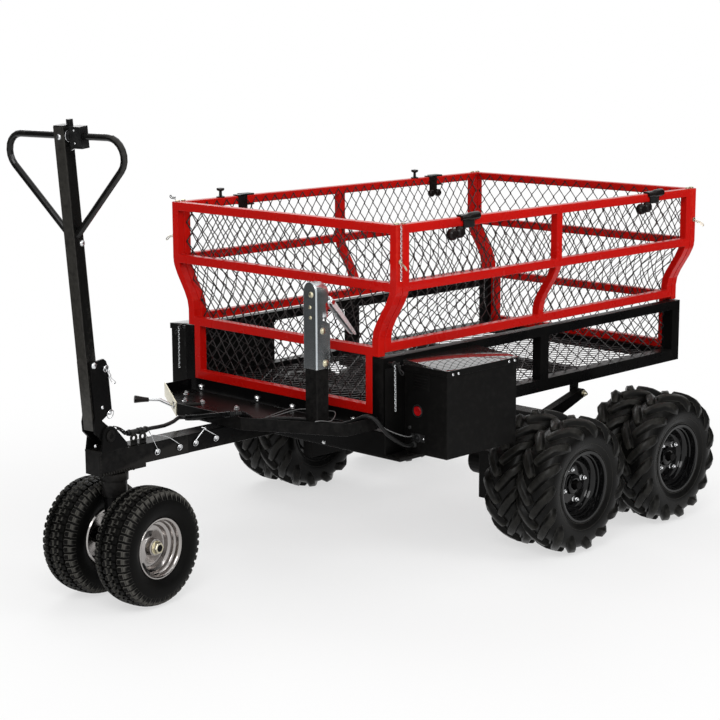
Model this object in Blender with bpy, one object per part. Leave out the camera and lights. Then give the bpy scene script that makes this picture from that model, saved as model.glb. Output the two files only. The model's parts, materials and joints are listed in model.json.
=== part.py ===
"""Electric transport cart: steered dual front wheels, tandem dual rear wheels and a mesh dump bed.

Units are metres. X runs from the handle (-X) to the rear gate (+X), the near side is -Y, Z is up.
The origin is on the ground, midway along the cart and on its centre line.
Places along the cart are written from the bed's front face, at BED_FRONT_X.
"""
import math

import bmesh
import bpy
from mathutils import Matrix, Vector

GAP = 0.0003              # between touching pieces
RUNNING_GAP = 0.0005      # radial, round a turning pin or shaft
SLIDE_GAP = 0.001         # beside a piece that slides or swings

# Bed
BED_LENGTH = 1.404
BED_RAIL_Z = 0.430        # underside of the black perimeter rails
BED_RAIL_HEIGHT = 0.0363
BED_TUBE = 0.040          # corner posts and perimeter rails
UPPER_RAIL_DEPTH = 0.030
UPPER_RAIL_HEIGHT = 0.028
LOWER_SIDE_TOP_Z = 0.626  # top of the black side frames
FLOOR_BAR_WIDTH = 0.030
FLOOR_BAR_HEIGHT = 0.0307
FLOOR_BAR_PLACES = (0.26, 0.63)

# Red panels and gates
PANEL_TUBE = 0.025
PANEL_LOW_HALF = 0.394    # outer face of the red posts where they stand on the black frame
PANEL_FLARE = 0.066       # how far the sides lean out above that
FLARE_START_Z = 0.675
FLARE_END_Z = 0.825
FLARE_STEPS = 6
PANEL_BOTTOM_Z = 0.6365
PANEL_MIDDLE_Z = 0.8096
PANEL_TOP_Z = 0.992
GATE_STEP_Z = 0.6275      # underside of the gate's wide part

# Expanded metal, drawn with fewer and larger diamonds than the real sheet
SHEET = 0.003
STRAND = 0.009

# Chassis
SPINE_WIDTH = 0.060
SPINE_HEIGHT = 0.052
TONGUE_JOINT = -0.369     # from the bed's front face
HEAD_BLOCK_END = -0.520
HEAD_DEPTH = 0.011        # how far the head block reaches below the spine
TONGUE_FRONT = -0.675
FRONT_CROSS = (0.010, 0.090)
FRONT_CROSS_DEPTH = 0.021
BOX_FOOT_END = 0.120
BOX_FOOT_REACH = 0.048     # how far the crossmember's ends reach in under the battery boxes

# Tray in front of the bed
TRAY_SHEET = 0.003
TRAY_LIP = 0.035
TRAY_FRONT = -0.271
TRAY_REAR = -0.010
TRAY_NOSE_HALF = 0.133
TRAY_NEAR = (-0.130, 0.399)  # where the near slanting edge ends: along the cart, and from its middle
TRAY_FAR = (-0.110, 0.378)
TRAY_TOP_Z = 0.465         # the lips' upper edges
RISER_FRONT = -0.200

# Tandem wheels
TANDEM_CENTRE = 0.8245
TANDEM_SPACING = 0.471
PIVOT_Z = 0.2175
PIVOT_RADIUS = 0.014
CASE_FRONT_REACH = 0.3525
CASE_REAR_REACH = 0.2955
CASE_TOP = 0.065           # above the pivot
CASE_DROP = 0.081          # below it
CASE_THICK = 0.040
CASE_INNER_Y = 0.3520
HANGER_THICK = 0.015
HANGER_ROOM = 0.009        # between a hanger and the walking beam beside it
REAR_CROSS_WIDTH = 0.060
REAR_CROSS_HEIGHT = 0.045
REAR_CROSS_DROP = 0.036    # the cross tube's top, below the spine
MOTOR_RADIUS = 0.045
MOTOR_LENGTH = 0.105
AXLE_RADIUS = 0.0125

TYRE_RADIUS = 0.200
TYRE_HALF_WIDTH = 0.057
TYRE_BEAD_HALF = 0.042
TREAD_HALF = 0.050
LUG_DEPTH = 0.014
SHOULDER_DROP = 0.008      # the tread's edges, below its middle
LUG_COUNT = 12
RIM_SEAT_RADIUS = 0.0995
RIM_FLANGE = 0.004
RIM_LIP = 0.006
RIM_SHEET = 0.0035
DUAL_SPACING = 0.120
INNER_TYRE_Y = 0.484
HUB_RADIUS = 0.034

# Front wheels and steering
STEER_REST = math.radians(8)  # the wheels and handle stand turned this far to the near side
FRONT_AXLE = -0.584
STEER_AXIS = -0.605
FRONT_TYRE_RADIUS = 0.160
FRONT_TYRE_Y = 0.0955
FRONT_TYRE_HALF = 0.0575
FRONT_BEAD_HALF = 0.043
FRONT_SEAT_RADIUS = 0.076
FRONT_AXLE_RADIUS = 0.010
KINGPIN_RADIUS = 0.020
COLUMN_RADIUS = 0.028
KNUCKLE_HALF = 0.030
KNUCKLE_HEIGHT = 0.060

# Handle
TILT_AXIS = -0.646
TILT_Z = 0.461
MAST_LEAN = math.radians(5.27)
MAST_TUBE = 0.0345
MAST_OFFSET = 0.0297       # from the tilt axis forward to the mast's middle
MAST_FOOT = 0.024
MAST_LENGTH = 0.817        # its top, above the tilt axis
CHEEK = 0.006
BRACKET_TOP = 0.206
BRACKET_BACK = 0.0515      # from the mast's middle to the back plate's outer face
CHEEK_EYE = 0.0245
YOKE_PLATE = 0.006
YOKE_EYE = 0.0265
YOKE_REACH = (0.075, 0.024)  # of the yoke's foot, before and behind the kingpin
TILT_PIN_RADIUS = 0.008
LOOP_TUBE_RADIUS = 0.009
LOOP_HALF = 0.200
LOOP_BEND = 0.048
LOOP_DROP = 0.025          # the top bar's middle, below the mast's top
LOOP_HEIGHT = 0.259        # from the loop's feet up to its top bar
THROTTLE_WIDTH = 0.036
THROTTLE_SIZE = (0.030, 0.050)
THROTTLE_COLLAR = 0.014    # length of the ring that the thumb lever turns on
THROTTLE_WALL = 0.006
THROTTLE_STUB = 0.042      # how far the thumb lever stands above the bar's middle

# Battery boxes
BOX_FRONT = 0.080
BOX_LENGTH = 0.293
BOX_DEPTH = 0.155
BOX_HEIGHT = 0.241
BOX_DROP = 0.010           # the boxes' undersides, below the spine's
BOX_SIDE_GAP = 0.006
LID_SHEET = 0.003
LID_SKIRT = 0.013
SWITCH_RADIUS = 0.0135
SWITCH_Z = 0.4765
SWITCH_INSET = 0.048
PORT_Z = 0.403             # where the loom enters the near box

# Tow coupler and its post
POST_TUBE = 0.045
POST_PLACE = (-0.143, -0.300)
POST_TOP_Z = 0.700
COUPLER_LENGTH = 0.235
COUPLER_SHEET = 0.005
COUPLER_TOP_Z = 0.842
LATCH_LENGTH = 0.140
LATCH_WIDTH = 0.026
LATCH_ANGLE = math.radians(41)  # from hanging straight down, as it stands at rest

LATCH_Z = 0.782            # the coupler latch's pivot
LATCH_REACH = 0.049        # from the middle of the post

# Wiring
LEAD_RADIUS = 0.0035
LOOM_RADIUS = 0.0055

# Dump hinge and latch
HINGE_PLACE = 0.985
HINGE_Z = 0.370
HINGE_PIN_RADIUS = 0.008
LUG_INNER_Y = 0.300
LUG_THICK = 0.012
ARM_THICK = 0.028
ARM_DEPTH = 0.020
ARM_EYE = 0.0145
LEVER_Z = 0.448
ROD_RADIUS = 0.005
SLOT_PLACE = 0.055         # where the rod rests, along the tray's far slanting edge
SLOT_END_ROOM = 0.010      # beyond the rod's middle at the locked end
SLOT_TRAVEL = 0.030
LATCH_PLATE_ROOM = 0.004   # from each end of the tray's far slanting edge
PLATE_OVERHANG = 0.003     # past the lip, up and down
LEVER_INSIDE = 0.075       # from the slot in to the lever's pivot

# Rail clamps
CLAMP_PLACES = (0.290, 1.170)
CLAMP_LENGTH = 0.045
CLAMP_SHEET = 0.005

# Derived places
PANEL_TOP_HALF = PANEL_LOW_HALF + PANEL_FLARE
GATE_LOW_HALF = PANEL_LOW_HALF - PANEL_TUBE
POST_INNER_Y = GATE_LOW_HALF + SLIDE_GAP
BED_HALF = POST_INNER_Y + BED_TUBE
SPINE_TOP_Z = BED_RAIL_Z - 0.0117
SPINE_Z = SPINE_TOP_Z - SPINE_HEIGHT
FLOOR_BAR_Z = SPINE_TOP_Z + GAP
BOX_Z = SPINE_Z - BOX_DROP
BOX_Y = BED_HALF + BOX_SIDE_GAP
TRAY_FLOOR_Z = TRAY_TOP_Z - TRAY_LIP + TRAY_SHEET
REAR_CROSS_HALF = CASE_INNER_Y - HANGER_ROOM
LOOP_BAR = MAST_LENGTH - LOOP_DROP
LOOP_FOOT = LOOP_BAR - LOOP_HEIGHT
BEND_REACH = (STEER_AXIS - TILT_AXIS + MAST_OFFSET * math.cos(MAST_LEAN)
              + (LOOP_BAR - LOOP_BEND) * math.sin(MAST_LEAN))
FRONT_REACH = (BEND_REACH * math.cos(STEER_REST) + (LOOP_HALF - LOOP_BEND) * math.sin(STEER_REST)
               + LOOP_BEND * math.hypot(math.sin(MAST_LEAN) * math.cos(STEER_REST), math.sin(STEER_REST))
               + LOOP_TUBE_RADIUS - STEER_AXIS)
BED_FRONT_X = (FRONT_REACH - BED_LENGTH) / 2
BEAM_X = BED_FRONT_X + TANDEM_CENTRE

COLOURS = {
    "red_paint": ((0.62, 0.012, 0.010), 0.32, 0.0),
    "black_paint": ((0.012, 0.012, 0.013), 0.38, 0.0),
    "black_mesh": ((0.014, 0.013, 0.013), 0.30, 0.0),
    "zinc": ((0.55, 0.57, 0.58), 0.32, 1.0),
    "tyre_rubber": ((0.018, 0.018, 0.019), 0.70, 0.0),
    "silver_rim": ((0.55, 0.56, 0.57), 0.30, 1.0),
    "black_rim": ((0.010, 0.010, 0.011), 0.25, 0.0),
    "black_plastic": ((0.020, 0.020, 0.021), 0.50, 0.0),
    "red_switch": ((0.70, 0.02, 0.02), 0.35, 0.0),
    "cable_black": ((0.012, 0.012, 0.012), 0.55, 0.0),
}


def clear_scene():
    for thing in list(bpy.data.objects):
        bpy.data.objects.remove(thing, do_unlink=True)


def material(name):
    found = bpy.data.materials.get(name)
    if found:
        return found
    colour, roughness, metallic = COLOURS[name]
    made = bpy.data.materials.new(name)
    made.use_nodes = True
    shader = made.node_tree.nodes["Principled BSDF"]
    shader.inputs["Base Color"].default_value = (*colour, 1.0)
    shader.inputs["Roughness"].default_value = roughness
    shader.inputs["Metallic"].default_value = metallic
    return made


def along(place):
    """World X of a place measured from the bed's front face."""
    return BED_FRONT_X + place


def pivot(name, place, parent=None):
    """An empty on a joint's axis. Its moving pieces are parented to it."""
    empty = bpy.data.objects.new(name, None)
    empty.empty_display_size = 0.05
    bpy.context.scene.collection.objects.link(empty)
    world = Vector(place)
    if parent:
        empty.parent = parent
        empty.location = world - Vector(parent["place"])
    else:
        empty.location = world
    empty["place"] = list(world)
    return empty


def put(name, mesh, colour, owner, smooth=False):
    """An object for a mesh drawn in world coordinates, with its origin on its owner's pivot."""
    thing = bpy.data.objects.new(name, mesh)
    bpy.context.scene.collection.objects.link(thing)
    if colour:
        mesh.materials.append(material(colour))
    mesh.transform(Matrix.Translation(-Vector(owner["place"])))
    thing.parent = owner
    if smooth:
        mesh.shade_smooth()
        mesh.set_sharp_from_angle(angle=math.radians(35))
    return thing


def put_shared(name, mesh, owner, offset):
    """A copy of a turned piece that is drawn about its own centre."""
    thing = bpy.data.objects.new(name, mesh)
    bpy.context.scene.collection.objects.link(thing)
    thing.parent = owner
    thing.location = offset
    return thing


def finished(bm, name):
    bmesh.ops.recalc_face_normals(bm, faces=bm.faces)
    mesh = bpy.data.meshes.new(name)
    bm.to_mesh(mesh)
    bm.free()
    return mesh


def helper(name, mesh, owner):
    """A hidden piece that a Boolean joins or cuts with."""
    thing = put(name, mesh, None, owner)
    thing.hide_render = True
    thing.display_type = 'WIRE'
    return thing


def combine(thing, tool, operation):
    step = thing.modifiers.new(operation.lower(), 'BOOLEAN')
    step.operation = operation
    step.solver = 'EXACT'
    step.object = tool


def lattice(name, xs, ys, zs, solid, warp=None):
    """One closed body from the filled cells of a grid, such as a welded frame of square tubes."""
    bm = bmesh.new()
    corners = {}

    def corner(i, j, k):
        if (i, j, k) not in corners:
            point = Vector((xs[i], ys[j], zs[k]))
            corners[i, j, k] = bm.verts.new(warp(point, j) if warp else point)
        return corners[i, j, k]

    def filled(i, j, k):
        inside = 0 <= i < len(xs) - 1 and 0 <= j < len(ys) - 1 and 0 <= k < len(zs) - 1
        return inside and solid(i, j, k)

    sides = (
        ((-1, 0, 0), ((0, 0, 0), (0, 0, 1), (0, 1, 1), (0, 1, 0))),
        ((1, 0, 0), ((1, 0, 0), (1, 1, 0), (1, 1, 1), (1, 0, 1))),
        ((0, -1, 0), ((0, 0, 0), (1, 0, 0), (1, 0, 1), (0, 0, 1))),
        ((0, 1, 0), ((0, 1, 0), (0, 1, 1), (1, 1, 1), (1, 1, 0))),
        ((0, 0, -1), ((0, 0, 0), (0, 1, 0), (1, 1, 0), (1, 0, 0))),
        ((0, 0, 1), ((0, 0, 1), (1, 0, 1), (1, 1, 1), (0, 1, 1))),
    )
    for i in range(len(xs) - 1):
        for j in range(len(ys) - 1):
            for k in range(len(zs) - 1):
                if not filled(i, j, k):
                    continue
                for (di, dj, dk), ring in sides:
                    if not filled(i + di, j + dj, k + dk):
                        bm.faces.new([corner(i + a, j + b, k + c) for a, b, c in ring])
    return finished(bm, name)


def block(name, low, high):
    return lattice(name, (low[0], high[0]), (low[1], high[1]), (low[2], high[2]), lambda i, j, k: True)


def extruded(name, outline, plane_point, thickness, axis):
    """A plate from an outline, thickened along Y (outline in X, Z) or Z (outline in X, Y)."""
    bm = bmesh.new()
    if axis == 'Y':
        points = [Vector((x, plane_point, z)) for x, z in outline]
        step = Vector((0, thickness, 0))
    else:
        points = [Vector((x, y, plane_point)) for x, y in outline]
        step = Vector((0, 0, thickness))
    face = bm.faces.new([bm.verts.new(p) for p in points])
    grown = bmesh.ops.extrude_face_region(bm, geom=[face])
    moved = [v for v in grown["geom"] if isinstance(v, bmesh.types.BMVert)]
    bmesh.ops.translate(bm, verts=moved, vec=step)
    return finished(bm, name)


def arc(centre, radius, start, end, steps):
    """Points of an arc in a plane, both ends included. Angles are in degrees."""
    turns = [math.radians(start + (end - start) * n / steps) for n in range(steps + 1)]
    return [(centre[0] + radius * math.cos(t), centre[1] + radius * math.sin(t)) for t in turns]


def cylinder(name, start, end, radius, sides=20):
    """A round bar between two points."""
    start, end = Vector(start), Vector(end)
    run = end - start
    bm = bmesh.new()
    bmesh.ops.create_cone(bm, cap_ends=True, segments=sides, radius1=radius, radius2=radius,
                          depth=run.length)
    turn = run.to_track_quat('Z', 'Y').to_matrix().to_4x4()
    bmesh.ops.transform(bm, matrix=Matrix.Translation((start + end) / 2) @ turn, verts=bm.verts)
    return finished(bm, name)


def turned(name, profile, sides):
    """A ring turned about the Y axis from a closed outline of (radius, y) points."""
    bm = bmesh.new()
    rings = []
    for n in range(sides):
        t = -math.pi / 2 + 2 * math.pi * n / sides
        rings.append([bm.verts.new((r * math.cos(t), y, r * math.sin(t))) for r, y in profile])
    count = len(profile)
    for n in range(sides):
        a, b = rings[n], rings[(n + 1) % sides]
        for m in range(count):
            w = (m + 1) % count
            bm.faces.new((a[m], a[w], b[w], b[m]))
    return finished(bm, name)


def swept(name, points, radius, sides=12):
    """A round tube along a list of points, capped at both ends."""
    points = [Vector(p) for p in points]
    bm = bmesh.new()
    rings = []
    side = None
    for n, point in enumerate(points):
        ahead = points[min(n + 1, len(points) - 1)] - points[max(n - 1, 0)]
        ahead.normalize()
        if side is None:
            side = ahead.orthogonal().normalized()
        side = (side - ahead * side.dot(ahead)).normalized()
        other = ahead.cross(side)
        ring = []
        for m in range(sides):
            t = 2 * math.pi * m / sides
            ring.append(bm.verts.new(point + radius * (side * math.cos(t) + other * math.sin(t))))
        rings.append(ring)
    for a, b in zip(rings, rings[1:]):
        for m in range(sides):
            w = (m + 1) % sides
            bm.faces.new((a[m], a[w], b[w], b[m]))
    bm.faces.new(rings[0])
    bm.faces.new(rings[-1])
    return finished(bm, name)


def smooth_route(points, steps):
    """Points of a smooth curve through the route's own points."""
    points = [Vector(p) for p in points]
    route = []
    for n in range(len(points) - 1):
        before = points[max(n - 1, 0)]
        a, b = points[n], points[n + 1]
        after = points[min(n + 2, len(points) - 1)]
        for m in range(steps):
            t = m / steps
            route.append(0.5 * ((2 * a) + (b - before) * t + (2 * before - 5 * a + 4 * b - after) * t ** 2
                                + (3 * a - before - 3 * b + after) * t ** 3))
    route.append(points[-1])
    return route


def flare(z):
    """How far a side has leaned out at height z: an S from the black frame to the upper rails."""
    t = (z - FLARE_START_Z) / (FLARE_END_Z - FLARE_START_Z)
    t = min(max(t, 0.0), 1.0)
    return PANEL_FLARE * t * t * (3 - 2 * t)


def flare_lines():
    span = FLARE_END_Z - FLARE_START_Z
    return [FLARE_START_Z + span * n / FLARE_STEPS for n in range(FLARE_STEPS)]


def diamond_sheet(name, width, height, columns, rows, place):
    """Expanded metal: a sheet of diamond openings as one body.

    Every crossing of strands is a small square face, and a strand joins it to each neighbour.
    place maps (u, v, depth) to a point, so a sheet can follow a bent panel. The sheet's edges
    are straight, along the outer crossings.
    """
    bm = bmesh.new()
    pitch_u, pitch_v = width / columns, height / rows
    slant = math.hypot(pitch_u, pitch_v)
    half_u = STRAND / 2 * slant / pitch_v
    half_v = STRAND / 2 * slant / pitch_u
    edges = {}

    def corner(i, j, du, dv, layer):
        u = min(max(i * pitch_u / 2 + du * half_u, 0.0), width)
        v = min(max(j * pitch_v / 2 + dv * half_v, 0.0), height)
        key = (round(u, 6), round(v, 6), layer)
        if key not in edges:
            edges[key] = bm.verts.new(place(u, v, layer * SHEET))
        return edges[key]

    def face(points):
        for layer in (0, 1):
            ring = []
            for i, j, du, dv in points:
                vert = corner(i, j, du, dv, layer)
                if vert not in ring:
                    ring.append(vert)
            if len(ring) > 2:
                bm.faces.new(ring if layer else ring[::-1])

    for i in range(2 * columns + 1):
        for j in range(2 * rows + 1):
            if (i + j) % 2:
                continue
            face([(i, j, 1, 0), (i, j, 0, 1), (i, j, -1, 0), (i, j, 0, -1)])
            if i < 2 * columns and j < 2 * rows:
                face([(i, j, 1, 0), (i + 1, j + 1, 0, -1), (i + 1, j + 1, -1, 0), (i, j, 0, 1)])
            if i < 2 * columns and j > 0:
                face([(i, j, 0, -1), (i + 1, j - 1, -1, 0), (i + 1, j - 1, 0, 1), (i, j, 1, 0)])
    twins = {vert: edges[u, v, 1] for (u, v, layer), vert in edges.items() if layer == 0}
    for edge in [e for e in bm.edges if len(e.link_faces) == 1]:
        a, b = edge.verts
        if a in twins and b in twins:
            bm.faces.new((a, b, twins[b], twins[a]))
    return finished(bm, name)


def centres(lines):
    return [(a + b) / 2 for a, b in zip(lines, lines[1:])]


def bed_frame(owner):
    """The welded black base: rails, corner and middle posts, upper rails, floor bars and hinge lugs."""
    middle = BED_LENGTH / 2
    bars = [place - FLOOR_BAR_WIDTH / 2 for place in (*FLOOR_BAR_PLACES, HINGE_PLACE)]
    xs = {0.0, BED_TUBE, middle - BED_TUBE / 2, middle + BED_TUBE / 2, BED_LENGTH - BED_TUBE, BED_LENGTH}
    for bar in bars:
        xs |= {bar, bar + FLOOR_BAR_WIDTH}
    xs = sorted(xs)
    upper_y = BED_HALF - UPPER_RAIL_DEPTH
    half_ys = [LUG_INNER_Y, LUG_INNER_Y + LUG_THICK, POST_INNER_Y, upper_y, BED_HALF]
    ys = [-y for y in reversed(half_ys)] + half_ys
    rail_top = BED_RAIL_Z + BED_RAIL_HEIGHT
    upper_z = LOWER_SIDE_TOP_Z - UPPER_RAIL_HEIGHT
    bar_top = FLOOR_BAR_Z + FLOOR_BAR_HEIGHT
    zs = [HINGE_Z - 2 * HINGE_PIN_RADIUS, FLOOR_BAR_Z, BED_RAIL_Z, bar_top, rail_top, upper_z, LOWER_SIDE_TOP_Z]
    xc, yc, zc = centres(xs), [abs(y) for y in centres(ys)], centres(zs)

    def solid(i, j, k):
        x, y, z = xc[i], yc[j], zc[k]
        end = x < BED_TUBE or x > BED_LENGTH - BED_TUBE
        on_bar = any(bar < x < bar + FLOOR_BAR_WIDTH for bar in bars)
        if z > upper_z:
            return y > upper_y or (end and y > POST_INNER_Y)
        if z > rail_top:
            return y > POST_INNER_Y if end else y > upper_y and abs(x - middle) < BED_TUBE / 2
        if z > BED_RAIL_Z and (end or y > POST_INNER_Y):
            return True
        if z > FLOOR_BAR_Z:
            return z < bar_top and on_bar and y < POST_INNER_Y
        return on_bar and x > bars[-1] and LUG_INNER_Y < y < LUG_INNER_Y + LUG_THICK

    frame = put("bed_frame", lattice("bed_frame", [along(x) for x in xs], ys, zs, solid), "black_paint", owner)
    reach = LUG_INNER_Y + 2 * LUG_THICK
    hole = cylinder("hinge_holes", (along(HINGE_PLACE), -reach, HINGE_Z), (along(HINGE_PLACE), reach, HINGE_Z),
                    HINGE_PIN_RADIUS + RUNNING_GAP, 16)
    combine(frame, helper("hinge_holes", hole, owner), 'DIFFERENCE')


def floor_sheet(owner):
    bottom = FLOOR_BAR_Z + FLOOR_BAR_HEIGHT + GAP
    start, half = along(BED_TUBE) + GAP, POST_INNER_Y - GAP
    length = BED_LENGTH - 2 * BED_TUBE - 2 * GAP
    mesh = diamond_sheet("floor_mesh", length, 2 * half, 8, 4, lambda u, v, d: (start + u, v - half, bottom + d))
    put("floor_mesh", mesh, "black_mesh", owner)


def lower_side_sheet(name, side, owner):
    """Stands on the bottom rail, just inside the upper rail and the middle post."""
    inner = BED_HALF - UPPER_RAIL_DEPTH - GAP
    start, bottom = along(BED_TUBE) + GAP, BED_RAIL_Z + BED_RAIL_HEIGHT + GAP
    length = BED_LENGTH - 2 * BED_TUBE - 2 * GAP
    height = LOWER_SIDE_TOP_Z - UPPER_RAIL_HEIGHT / 4 - bottom
    mesh = diamond_sheet(name, length, height, 9, 1, lambda u, v, d: (start + u, side * (inner - d), bottom + v))
    put(name, mesh, "black_mesh", owner)


def side_panel(name, side, owner):
    """A red side: three bent posts and three rails, standing on the black frame."""
    low, high = PANEL_TUBE + SLIDE_GAP, BED_LENGTH - PANEL_TUBE - SLIDE_GAP
    middle = BED_LENGTH / 2
    xs = [low, low + PANEL_TUBE, middle - PANEL_TUBE / 2, middle + PANEL_TUBE / 2, high - PANEL_TUBE, high]
    rails = (PANEL_BOTTOM_Z, PANEL_MIDDLE_Z, PANEL_TOP_Z - PANEL_TUBE)
    zs = sorted({*rails, *[z + PANEL_TUBE for z in rails], *flare_lines(), FLARE_END_Z})
    ys = sorted((side * PANEL_LOW_HALF, side * (PANEL_LOW_HALF - PANEL_TUBE)))
    zc = centres(zs)

    def solid(i, j, k):
        return i in (0, 2, 4) or any(z < zc[k] < z + PANEL_TUBE for z in rails)

    mesh = lattice(name, [along(x) for x in xs], ys, zs, solid,
                   lambda p, j: p + Vector((0, side * flare(p.z), 0)))
    put(name, mesh, "red_paint", owner)


def side_sheet(name, side, owner):
    """Lines the inside of a red side. It starts to lean a little higher than the posts do."""
    late = 0.020
    start, bottom = along(0.035), PANEL_BOTTOM_Z + PANEL_TUBE / 3
    length, height = BED_LENGTH - 2 * 0.035, PANEL_TOP_Z - PANEL_TUBE / 4 - bottom

    def place(u, v, d):
        z = bottom + v
        lean = PANEL_FLARE if z > FLARE_END_Z + late else flare(z - late)
        return start + u, side * (PANEL_LOW_HALF - PANEL_TUBE - GAP - d + lean), z

    put(name, diamond_sheet(name, length, height, 9, 3, place), "black_mesh", owner)


def gate(name, place, owner):
    """An end gate: narrow between the corner posts, then flared to the width of the red sides."""
    start = BED_RAIL_Z + BED_RAIL_HEIGHT + GAP
    half_ys = [GATE_LOW_HALF - PANEL_TUBE, GATE_LOW_HALF, PANEL_LOW_HALF]
    ys = [-y for y in reversed(half_ys)] + half_ys
    rails = (GATE_STEP_Z, PANEL_MIDDLE_Z, PANEL_TOP_Z - PANEL_TUBE)
    zs = sorted({start, start + PANEL_TUBE, *rails, *[z + PANEL_TUBE for z in rails], *flare_lines(), FLARE_END_Z})
    zc = centres(zs)

    def solid(i, j, k):
        if zc[k] < GATE_STEP_Z:
            return j in (1, 3) or (j == 2 and zc[k] < start + PANEL_TUBE)
        return j in (0, 4) or any(z < zc[k] < z + PANEL_TUBE for z in rails)

    mesh = lattice(name, (along(place), along(place) + PANEL_TUBE), ys, zs, solid,
                   lambda p, j: p + Vector((0, flare(p.z) * (1 if j > 2 else -1), 0)))
    put(name, mesh, "red_paint", owner)


def gate_sheet(name, place, inward, owner):
    """Lines the inner face of a gate, between the red sides."""
    back = along(place) + (PANEL_TUBE + GAP if inward > 0 else -GAP)
    bottom = BED_RAIL_Z + BED_RAIL_HEIGHT + PANEL_TUBE / 3
    height = PANEL_TOP_Z - PANEL_TUBE / 4 - bottom
    half = GATE_LOW_HALF - 0.010

    def across(u, v, d):
        z = bottom + v
        return back + inward * d, (u - half) * (1 + flare(z) / half), z

    put(name, diamond_sheet(name, 2 * half, height, 5, 3, across), "black_mesh", owner)


def rail_clamp(name, place, side, owner):
    """A hook over the outside of a top rail, with a lip under it."""
    outer = PANEL_TOP_HALF + GAP
    inner = PANEL_TOP_HALF - PANEL_TUBE + 2 * GAP
    half_ys = [inner, outer, outer + CLAMP_SHEET]
    ys = half_ys if side > 0 else [-y for y in reversed(half_ys)]
    rail = PANEL_TOP_Z - PANEL_TUBE - GAP
    zs = [rail - CLAMP_SHEET, rail, PANEL_TOP_Z + GAP, PANEL_TOP_Z + GAP + CLAMP_SHEET]
    wall = 1 if side > 0 else 0
    mesh = lattice(name, (along(place - CLAMP_LENGTH / 2), along(place + CLAMP_LENGTH / 2)), ys, zs,
                   lambda i, j, k: j == wall or k != 1)
    put(name, mesh, "black_plastic", owner)


def chassis_spine(owner):
    """The centre tube, with the riser that carries the tray welded on its top."""
    xs = [along(TONGUE_JOINT) + GAP, along(RISER_FRONT), along(TRAY_REAR) - 2 * TRAY_SHEET,
          BEAM_X + REAR_CROSS_WIDTH / 2]
    zs = (SPINE_Z, SPINE_TOP_Z, TRAY_FLOOR_Z - TRAY_SHEET - GAP)
    mesh = lattice("chassis_spine", xs, (-SPINE_WIDTH / 2, SPINE_WIDTH / 2), zs, lambda i, j, k: k == 0 or i == 1)
    put("chassis_spine", mesh, "black_paint", owner)


def tongue_head(owner):
    xs = [along(x) for x in (TONGUE_FRONT, HEAD_BLOCK_END, TONGUE_JOINT)]
    zs = (SPINE_Z - HEAD_DEPTH, SPINE_Z, SPINE_TOP_Z)
    mesh = lattice("tongue_head", xs, (-SPINE_WIDTH / 2, SPINE_WIDTH / 2), zs, lambda i, j, k: i == 0 or k == 1)
    head = put("tongue_head", mesh, "black_paint", owner)
    x = along(STEER_AXIS)
    bore = cylinder("kingpin_bore", (x, 0, zs[0] - 0.01), (x, 0, zs[2] + 0.01), KINGPIN_RADIUS + RUNNING_GAP, 24)
    combine(head, helper("kingpin_bore", bore, owner), 'DIFFERENCE')


def front_crossmember(owner):
    """Saddles the spine under the bed's front edge and reaches out under both battery boxes."""
    front, back = FRONT_CROSS
    half_ys = [SPINE_WIDTH / 2 + GAP, BED_HALF - BED_TUBE, BED_HALF, BOX_Y + BOX_FOOT_REACH]
    ys = [-y for y in reversed(half_ys)] + half_ys
    yc = [abs(y) for y in centres(ys)]
    top = SPINE_Z - GAP
    xs = [along(x) for x in (front, back, BOX_FOOT_END)]
    zs = (top - FRONT_CROSS_DEPTH, BOX_Z - GAP, top, SPINE_TOP_Z - GAP)

    def solid(i, j, k):
        if k == 2:
            return i == 0 and half_ys[0] < yc[j] < BED_HALF
        return (k == 0 or yc[j] < BED_HALF) and (i == 0 or yc[j] > BED_HALF - BED_TUBE)

    put("front_crossmember", lattice("front_crossmember", xs, ys, zs, solid), "black_paint", owner)


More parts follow.
